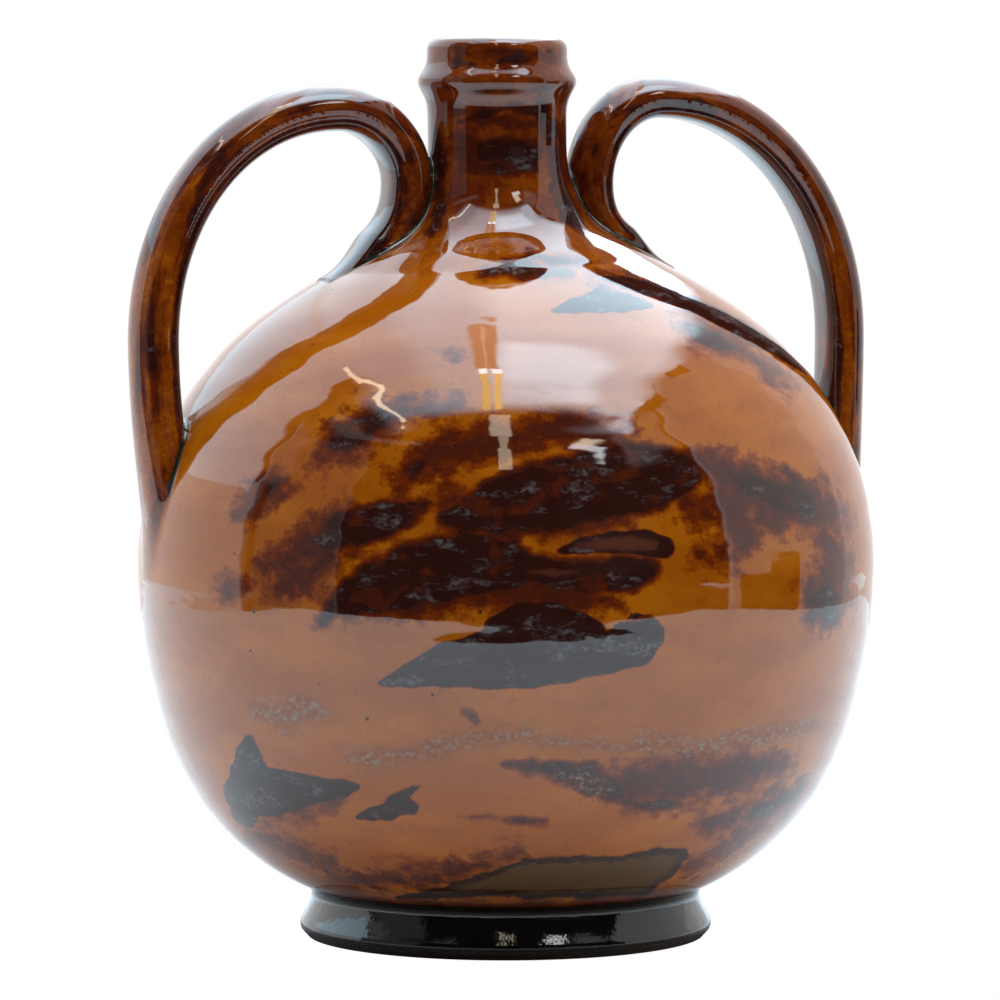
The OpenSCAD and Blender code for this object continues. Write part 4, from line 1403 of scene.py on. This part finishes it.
@dataclass(frozen=True)
class TreacleGlaze:
    """A glossy amber glaze that runs into dark treacle streaks.

    Attributes:
        name: Name of the material.
        amber: Colour of the thin glaze.
        honey: Colour where it is thinnest.
        depths: Colours of deeper glaze, each with its depth of iron.
        ash: Colour of the speckled grey film.
        olive: Colour of the pool over the foot.
        pool: Colour of the glaze in the creases.
        core: Colour in the middle of a ringed streak.
        crystal: Colour of the crystals in the dots.
        haze_and_sheen: Colour of the fine crystals in deep glaze, partly a painted sheen.
        foot_z: Heights between which the glaze darkens towards the foot, in metres.
        neck_z: Heights between which it darkens towards the neck.
        roughness: Roughness of the glassy surface.
        ash_roughness: Roughness of the grey film.
    """

    name: str
    amber: Colour = (0.3, 0.066, 0.0014, 1)
    honey: Colour = (0.37, 0.093, 0.0022, 1)
    depths: tuple[tuple[float, Colour], ...] = (
        (0.22, (0.205, 0.036, 0.001, 1)),
        (0.45, (0.115, 0.0145, 0.0012, 1)),
        (0.7, (0.058, 0.0085, 0.003, 1)),
        (1.0, (0.025, 0.0045, 0.0027, 1)),
    )
    ash: Colour = (0.25, 0.19, 0.13, 1)
    olive: Colour = (0.085, 0.036, 0.009, 1)
    pool: Colour = (0.010, 0.012, 0.006, 1)
    core: Colour = (0.085, 0.019, 0.008, 1)
    crystal: Colour = (0.13, 0.13, 0.12, 1)
    haze_and_sheen: Colour = (0.115, 0.095, 0.095, 1)
    foot_z: tuple[float, float] = (0.0175, 0.0105)
    neck_z: tuple[float, float] = (0.166, 0.188)
    roughness: float = 0.035
    ash_roughness: float = 0.13

    def streaks(self, nodes: Nodes, groups: dict[str, bpy.types.NodeTree], tone: Tone,
                **sizes: float) -> bpy.types.NodeSocket:
        """Depth of one tone's streaks.

        Args:
            nodes: The material's nodes.
            groups: The shared node groups by name.
            tone: The tone.
            sizes: Wander, clots, grain and edge in millimetres.

        Returns:
            The depth, from 0 to 1.
        """
        spot = nodes.add("ShaderNodeTexCoord").outputs["Object"]
        group = nodes.group(groups["streak_depth"], place=spot,
                            distance=nodes.attribute(tone.value), **sizes)
        return group.outputs["Depth"]

    def iron(self, nodes: Nodes, groups: dict[str, bpy.types.NodeTree]
             ) -> bpy.types.NodeSocket:
        """Depth of iron in the glaze, from 0 to 1.

        Args:
            nodes: The material's nodes.
            groups: The shared node groups by name.

        Returns:
            The depth.
        """
        spot = nodes.add("ShaderNodeTexCoord").outputs["Object"]
        # The treacle depth also carries painted shade and painted reflection: the strokes down the
        # neck's sides.
        treacle = self.streaks(nodes, groups, Tone.TREACLE, wander=3.4, clots=2.4, grain=1.0,
                               edge=1.7)
        syrup = self.streaks(nodes, groups, Tone.SYRUP, wander=1.2, clots=0.9, grain=0.4,
                             edge=0.4)
        # The smoke depth also carries painted shade: the soft band down the neck's right side.
        smoke = self.streaks(nodes, groups, Tone.SMOKE, wander=6.0, clots=8.0, grain=4.0,
                             edge=3.6)
        strap = nodes.group(groups["strap_depth"], run=nodes.attribute("run"),
                            lane=nodes.attribute("lane"), strap=nodes.attribute("strap"),
                            place=spot)
        parts = nodes.add("ShaderNodeSeparateXYZ")
        nodes.feed(parts.inputs[0], spot)
        sway = nodes.math("MULTIPLY", nodes.noise(spot, 120, 3, 0.6), 0.006)
        low = nodes.rise(nodes.math("ADD", parts.outputs["Z"], sway),
                         self.foot_z[0] + 0.003, self.foot_z[1] + 0.003)
        high = nodes.math("MULTIPLY", nodes.rise(parts.outputs["Z"], *self.neck_z), 0.34)
        patchy = nodes.math("SUBTRACT", nodes.noise(spot, 70, 2, 0.5), 0.5)
        high = nodes.math("MULTIPLY_ADD", nodes.math("MULTIPLY", high, patchy), 2.4, high)
        clouds = nodes.rise(nodes.noise(nodes.stretched(spot, (1, 1, 1.7)), 125, 2, 0.5),
                            0.48, 0.72)
        treacle = nodes.math("MULTIPLY", treacle, nodes.blend(clouds, 1.0, 0.62))
        deepest = nodes.math("MAXIMUM", treacle, nodes.math("MULTIPLY", smoke, 0.66))
        deepest = nodes.math("MAXIMUM", deepest, syrup)
        deepest = nodes.math("MAXIMUM", deepest, strap.outputs["Depth"])
        deepest = nodes.math("MAXIMUM", deepest, nodes.math("MULTIPLY", low, 0.95))
        deepest = nodes.math("MAXIMUM", deepest, high)
        for scale, detail, strength in ((1150, 2.0, 0.34), (330, 1.0, 0.26)):
            grain = nodes.math("SUBTRACT", nodes.noise(spot, scale, detail, 0.5), 0.5)
            deepest = nodes.math("MULTIPLY_ADD", grain, strength, deepest)
        return deepest

    def build(self, groups: dict[str, bpy.types.NodeTree]) -> bpy.types.Material:
        """Makes the node material.

        Args:
            groups: The shared node groups by name.

        Returns:
            The new material.
        """
        material = bpy.data.materials.new(self.name)
        material.use_nodes = True
        nodes = Nodes(material.node_tree)
        shader = material.node_tree.nodes["Principled BSDF"]
        spot = nodes.add("ShaderNodeTexCoord").outputs["Object"]
        iron = self.iron(nodes, groups)
        soft = nodes.noise(nodes.stretched(spot, (1, 1, 2.4)), 38, 3, 0.5)
        colour = nodes.mix(nodes.rise(soft, 0.38, 0.68), self.amber, self.honey)
        below = 0.0
        for depth, shade in self.depths:
            colour = nodes.mix(nodes.rise(iron, below, depth), colour, shade)
            below = depth
        film = self.streaks(nodes, groups, Tone.ASH, wander=5.0, clots=5.0, grain=3.0, edge=2.6)
        colour = nodes.mix(nodes.math("MULTIPLY", film, 0.5), colour, self.depths[1][1])
        fleck = nodes.noise(nodes.stretched(spot, (1, 1, 1.4)), 640, 3, 0.65)
        ash = nodes.math("MULTIPLY", film, nodes.rise(fleck, 0.47, 0.64))
        colour = nodes.mix(nodes.math("MULTIPLY", ash, 0.7), colour, self.ash)
        # Grey haze over the deepest glaze: partly fine crystals, partly a painted sheen.
        veil = nodes.noise(nodes.stretched(spot, (1, 1, 3.2), (0, 0.12, 0)), 90, 3, 0.6)
        haze_and_sheen_share = nodes.math("MULTIPLY", nodes.rise(veil, 0.5, 0.66), nodes.rise(fleck, 0.4, 0.62))
        haze_and_sheen_share = nodes.math("MULTIPLY", haze_and_sheen_share, nodes.rise(iron, 0.75, 1.05))
        colour = nodes.mix(nodes.math("MULTIPLY", haze_and_sheen_share, 0.75), colour, self.haze_and_sheen)
        core = self.streaks(nodes, groups, Tone.CORE, wander=0.6, clots=0.8, grain=0.8, edge=0.8)
        colour = nodes.mix(core, colour, self.core)
        rim = self.streaks(nodes, groups, Tone.OLIVE, wander=1.6, clots=1.2, grain=0.8, edge=0.4)
        colour = nodes.mix(rim, colour, self.depths[-1][1])
        inner = nodes.math("ADD", nodes.attribute(Tone.OLIVE.value), 1.5)
        inside = nodes.group(groups["streak_depth"], place=spot, distance=inner, wander=1.6,
                             clots=1.6, grain=3.0, edge=0.7).outputs["Depth"]
        colour = nodes.mix(inside, colour, self.olive)
        share = nodes.math("MULTIPLY_ADD", iron, 0.1, 0.025)
        dots = nodes.group(groups["crystal_dots"], place=spot, share=share)
        colour = nodes.mix(dots.outputs["Dot"], colour, self.depths[-1][1])
        colour = nodes.mix(dots.outputs["Crystal"], colour, self.crystal)
        crease = nodes.rise(nodes.attribute("crease"), 1.25, 0.75)
        colour = nodes.mix(crease, colour, self.pool)
        nodes.feed(shader.inputs["Base Color"], colour)
        nodes.feed(shader.inputs["Roughness"],
                   nodes.blend(film, self.roughness, self.ash_roughness))
        shader.inputs["IOR"].default_value = 1.6
        ripple = nodes.noise(nodes.stretched(spot, (1, 1, 1.6)), 75, 2, 0.5)
        height = nodes.math("MULTIPLY_ADD", nodes.noise(spot, 520, 2, 0.5), 0.035, ripple)
        height = nodes.math("MULTIPLY_ADD", dots.outputs["Dot"], -0.05, height)
        bump = nodes.add("ShaderNodeBump")
        bump.inputs["Strength"].default_value = 1.0
        bump.inputs["Distance"].default_value = 0.0001
        nodes.feed(bump.inputs["Height"], height)
        nodes.feed(shader.inputs["Normal"], bump.outputs["Normal"])
        return material


@dataclass(frozen=True)
class FootGlaze:
    """Black pooled glaze over the foot, with a dry brown edge where it was wiped.

    Attributes:
        name: Name of the material.
        black: Colour of the pooled glaze.
        clay: Colour of the dry edge.
        edge_z: Height of the dry edge, in metres.
        roughness: Roughness of the glaze.
        clay_roughness: Roughness of the dry clay.
    """

    name: str
    black: Colour = (0.0065, 0.0045, 0.0035, 1)
    clay: Colour = (0.03, 0.016, 0.011, 1)
    edge_z: float = 0.0022
    roughness: float = 0.09
    clay_roughness: float = 0.55

    def build(self, groups: dict[str, bpy.types.NodeTree]) -> bpy.types.Material:
        """Makes the node material.

        Args:
            groups: The shared node groups by name.

        Returns:
            The new material.
        """
        material = bpy.data.materials.new(self.name)
        material.use_nodes = True
        nodes = Nodes(material.node_tree)
        shader = material.node_tree.nodes["Principled BSDF"]
        spot = nodes.add("ShaderNodeTexCoord").outputs["Object"]
        parts = nodes.add("ShaderNodeSeparateXYZ")
        nodes.feed(parts.inputs[0], spot)
        over = nodes.math("MULTIPLY", nodes.math("SUBTRACT", parts.outputs["Z"], self.edge_z),
                          1000.0)
        dry = nodes.group(groups["streak_depth"], place=spot, distance=over, wander=2.0,
                          clots=1.0, grain=1.6, edge=0.5).outputs["Depth"]
        nodes.feed(shader.inputs["Base Color"], nodes.mix(dry, self.black, self.clay))
        nodes.feed(shader.inputs["Roughness"],
                   nodes.blend(dry, self.roughness, self.clay_roughness))
        shader.inputs["IOR"].default_value = 1.6
        bump = nodes.add("ShaderNodeBump")
        bump.inputs["Distance"].default_value = 0.00012
        nodes.feed(bump.inputs["Height"], nodes.noise(spot, 260, 3, 0.6))
        nodes.feed(shader.inputs["Normal"], bump.outputs["Normal"])
        return material


# Studio


class Tint(Enum):
    """Colours of the light from the surroundings."""

    PLAIN = (0.97, 0.98, 1.0)
    SKY = (0.68, 0.87, 1.0)
    LAMP = (1.25, 1.08, 0.82)
    GOLD = (1.3, 0.95, 0.35)
    WOOD = (1.25, 0.8, 0.6)


@dataclass(frozen=True)
class Panel:
    """A part of the surroundings that is darker or brighter than the rest.

    On the walls it is given by bearings from the camera, positive to the viewer's
    right, and heights over the horizon, in degrees. On the ceiling it is given by
    places to the right of the flask and towards the viewer, as shares of the ceiling's
    height.

    Attributes:
        left: Its left edge.
        right: Its right edge.
        low: Its lower edge, on the ceiling the far one.
        high: Its upper edge, on the ceiling the near one.
        light: Its radiance.
        soft: Width of its blurred edges.
        lean: How far it leans to the right as it rises.
        tint: Colour of its light.
    """

    left: float
    right: float
    low: float
    high: float
    light: float
    soft: float = 1.0
    lean: float = 0.0
    tint: Tint = Tint.PLAIN

    def over(self, nodes: Nodes, level: object, across: bpy.types.NodeSocket,
             up: bpy.types.NodeSocket) -> bpy.types.NodeSocket:
        """Lays the panel over the radiance of what lies behind it.

        Args:
            nodes: The world's nodes.
            level: Radiance behind it.
            across: Coordinate from left to right.
            up: Coordinate from its lower to its upper edge.

        Returns:
            The radiance with the panel.
        """
        half = self.soft / 2
        upright = nodes.math("MULTIPLY_ADD", up, -self.lean, across)
        sides = nodes.math("MULTIPLY", nodes.rise(upright, self.left - half, self.left + half),
                           nodes.rise(upright, self.right + half, self.right - half))
        ends = nodes.math("MULTIPLY", nodes.rise(up, self.low - half, self.low + half),
                          nodes.rise(up, self.high + half, self.high - half))
        shade = tuple(part * self.light for part in self.tint.value) + (1.0,)
        return nodes.mix(nodes.math("MULTIPLY", sides, ends), level, shade)


@dataclass(frozen=True)
class Studio:
    """Floor, surroundings and camera.

    Attributes:
        distance: Distance of the camera from the flask's axis.
        azimuth: Bearing of the camera from the front, in degrees.
        height: Height of the camera.
        pitch: How far the camera looks down, in degrees.
        yaw: How far the camera looks to the left of the axis, in degrees.
        lens: Focal length in millimetres.
        film: Width of the film in millimetres.
        pale: Radiance of the pale walls that no panel covers.
        walls: Darker and brighter parts of the walls.
        ceiling: Darker and brighter parts of the ceiling.
        table: Half width of the pale floor, and its reach before and behind the flask.
    """

    distance: float = 1.467
    azimuth: float = -17.0
    height: float = 0.2045
    pitch: float = 3.616
    yaw: float = 0.056
    lens: float = 205.99
    film: float = 36.0
    pale: float = 1.3
    walls: tuple[Panel, ...] = (
        Panel(-140, -90, -90, 38, 1.25, 4),
        Panel(-140, -92, 38, 90, 1.9, 8),
        Panel(-89, -53, -9, 41, 0.24, 1.5),
        Panel(-89.5, -80, 24, 39, 0.45, 2),
        Panel(-96.5, -90, 22, 58, 0.04, 0.8),
        Panel(-87, -84, -8, 22, 0.05, 0.8),
        Panel(-93, -28, 40, 66, 0.06, 2),
        Panel(-53, 72.5, -16, 75, 0.02, 1.2),
        Panel(-80, -34, 44, 47.5, 0.5, 1.5),
        Panel(20, 48, 3, 19, 0.1, 6),
        Panel(47, 70, 39, 51, 0.65, 3),
        Panel(74, 131, -9, 55, 0.85, 1.5),
        Panel(131, 170, -8, 45, 1.1, 8),
        Panel(67, 78, 51, 55.5, 0.05, 1.5),
        Panel(77, 103, -16, -3.5, 0.02, 1),
        Panel(89, 103, -6, 1.5, 0.02, 1),
    )
    ceiling: tuple[Panel, ...] = (
        Panel(-3, -0.66, -4, -0.1, 2.3, 0.05, 0.0, Tint.SKY),
        Panel(-0.64, 0.62, -3, 0.48, 2.8, 0.16, 0.0, Tint.SKY),
        Panel(-0.34, 0.62, -3, 0.42, 4.4, 0.22, 0.0, Tint.SKY),
        Panel(-0.06, 0.62, -3, 0.38, 6.4, 0.16, 0.0, Tint.SKY),
        Panel(-0.02, 0.41, -0.1, 0.34, 10.5, 0.14, 0.0, Tint.SKY),
        Panel(0.45, 0.68, 0.18, 0.45, 6.4, 0.05, 0.0, Tint.SKY),
        Panel(-0.672, -0.645, -0.22, 0.03, 7.0, 0.012, 0.0, Tint.LAMP),
        Panel(-0.665, -0.638, 0.0, 0.13, 8.0, 0.012, 0.5, Tint.LAMP),
        Panel(-0.606, -0.578, 0.11, 0.5, 9.0, 0.012, 0.03, Tint.LAMP),
        Panel(-0.115, -0.025, -0.29, 0.12, 2.2, 0.02, 0.0, Tint.WOOD),
        Panel(-0.075, -0.065, -0.27, 0.12, 4.0, 0.01, 0.0, Tint.WOOD),
        Panel(-0.105, -0.07, 0.12, 0.2, 14.0, 0.012),
        Panel(-0.05, -0.015, 0.12, 0.2, 14.0, 0.012),
        Panel(-0.105, -0.07, 0.2, 0.47, 5.0, 0.012, 0.0, Tint.GOLD),
        Panel(-0.05, -0.015, 0.2, 0.47, 6.0, 0.012, 0.0, Tint.GOLD),
        Panel(-0.075, 0.035, 0.55, 0.68, 3.8, 0.015, 0.0, Tint.LAMP),
        Panel(-0.04, 0.02, 0.68, 1.0, 3.0, 0.015, 0.0, Tint.LAMP),
        Panel(-0.06, 0.04, 1.0, 1.17, 3.4, 0.015, 0.0, Tint.LAMP),
        Panel(0.45, 0.6, 0.62, 0.86, 6.0, 0.06, 0.0, Tint.LAMP),
        Panel(0.45, 0.7, 0.8, 0.92, 8.0, 0.04),
        Panel(0.665, 0.75, -0.36, -0.12, 0.05, 0.02),
        Panel(0.67, 0.76, 0.05, 0.3, 0.05, 0.02),
    )
    table: tuple[float, float, float] = (0.65, 0.4, 0.8)

    def place_camera(self) -> None:
        """Creates the camera and makes it the scene's camera."""
        data = bpy.data.cameras.new("camera")
        data.lens = self.lens
        data.sensor_width = self.film
        camera = bpy.data.objects.new("camera", data)
        bpy.context.scene.collection.objects.link(camera)
        turn = math.radians(self.azimuth)
        camera.location = (
            self.distance * math.sin(turn), -self.distance * math.cos(turn), self.height
        )
        camera.rotation_euler = (
            math.radians(90.0 - self.pitch), 0.0, turn + math.radians(self.yaw)
        )
        bpy.context.scene.camera = camera

    def lay_floor(self) -> None:
        """Lays the pale floor under the flask."""
        half, ahead, behind = self.table
        turn = math.radians(self.azimuth)
        corners = [(x * math.cos(turn) - y * math.sin(turn),
                    x * math.sin(turn) + y * math.cos(turn), 0.0)
                   for x, y in ((-half, -ahead), (half, -ahead), (half, behind), (-half, behind))]
        mesh = bpy.data.meshes.new("floor")
        mesh.from_pydata(corners, [], [(0, 1, 2, 3)])
        floor = bpy.data.objects.new("floor", mesh)
        bpy.context.scene.collection.objects.link(floor)
        material = bpy.data.materials.new("pale_floor")
        material.use_nodes = True
        nodes = Nodes(material.node_tree)
        shader = material.node_tree.nodes["Principled BSDF"]
        shader.inputs["Base Color"].default_value = (0.7, 0.7, 0.7, 1.0)
        shader.inputs["Roughness"].default_value = 0.9
        shader.inputs["Specular IOR Level"].default_value = 0.0
        white = nodes.add("ShaderNodeEmission")
        nodes.sight(shader.outputs[0], white.outputs[0],
                    material.node_tree.nodes["Material Output"])
        floor.data.materials.append(material)

    def light(self) -> None:
        """Sets the soft surroundings, which the camera sees as plain white."""
        world = bpy.data.worlds.new("studio")
        bpy.context.scene.world = world
        world.use_nodes = True
        nodes = Nodes(world.node_tree)
        background = world.node_tree.nodes["Background"]
        turn = nodes.add("ShaderNodeVectorRotate", rotation_type="Z_AXIS")
        turn.inputs["Angle"].default_value = math.radians(-self.azimuth)
        nodes.feed(turn.inputs["Vector"], nodes.add("ShaderNodeTexCoord").outputs["Generated"])
        parts = nodes.add("ShaderNodeSeparateXYZ")
        nodes.feed(parts.inputs[0], turn.outputs["Vector"])
        degrees = 180 / math.pi
        ahead = nodes.math("MULTIPLY", parts.outputs["Y"], -1.0)
        bearing = nodes.math(
            "MULTIPLY", nodes.math("ARCTAN2", parts.outputs["X"], ahead), degrees)
        height = nodes.math("MULTIPLY", nodes.math("ARCSINE", parts.outputs["Z"]), degrees)
        level: object = tuple(part * self.pale for part in Tint.PLAIN.value) + (1.0,)
        for panel in self.walls:
            level = panel.over(nodes, level, bearing, height)
        beside = nodes.math("DIVIDE", parts.outputs["X"], parts.outputs["Z"])
        near = nodes.math("DIVIDE", ahead, parts.outputs["Z"])
        above = level
        for panel in self.ceiling:
            above = panel.over(nodes, above, beside, near)
        level = nodes.mix(nodes.rise(parts.outputs["Z"], 0.1, 0.15), level, above)
        nodes.feed(background.inputs["Color"], level)
        white = nodes.add("ShaderNodeBackground")
        white.inputs["Color"].default_value = (1.0, 1.0, 1.0, 1.0)
        nodes.sight(background.outputs[0], white.outputs[0],
                    world.node_tree.nodes["World Output"])
        bpy.context.scene.view_settings.view_transform = "Standard"


def main() -> None:
    """Builds the flask, dresses it and sets the studio round it."""
    logging.basicConfig(level=logging.INFO, format="%(message)s")
    body = BodyForm()
    neck = NeckForm(body)
    left = StrapForm(-1, 0.012, 0.0, 0.0045, 0.0178, neck)
    right = StrapForm(1, 0.011, 0.001, 0.0025, 0.0149, neck)
    pattern = GlazePattern(
        (Plate(-17.0, FRONT_STROKES), Plate(163.0, BACK_STROKES)), neck, (left, right))
    groups = {tree.name: tree for tree in (streak_depth(), strap_depth(), crystal_dots())}
    amber = TreacleGlaze("amber_glaze").build(groups)
    streaked = TreacleGlaze("streaked_glaze").build(groups)
    black = FootGlaze("dark_glaze").build(groups)
    place(pattern.paint(ThrownBody(body, neck).build()).make(), "body", Slot.BODY, amber)
    place(TurnedFoot(body).build().make(), "foot_ring", Slot.FOOT, black)
    place(pattern.paint(CollaredNeck(neck).build()).make(), "neck", Slot.APPLIED, streaked)
    for name, node, strap in (("left_strap", "handle_left", left),
                              ("right_strap", "handle_right", right)):
        skin = pattern.paint(PulledHandle(name, strap).build())
        place(skin.make(), node, Slot.APPLIED, streaked)
    studio = Studio()
    studio.lay_floor()
    studio.light()
    studio.place_camera()


if __name__ == "__main__":
    main()
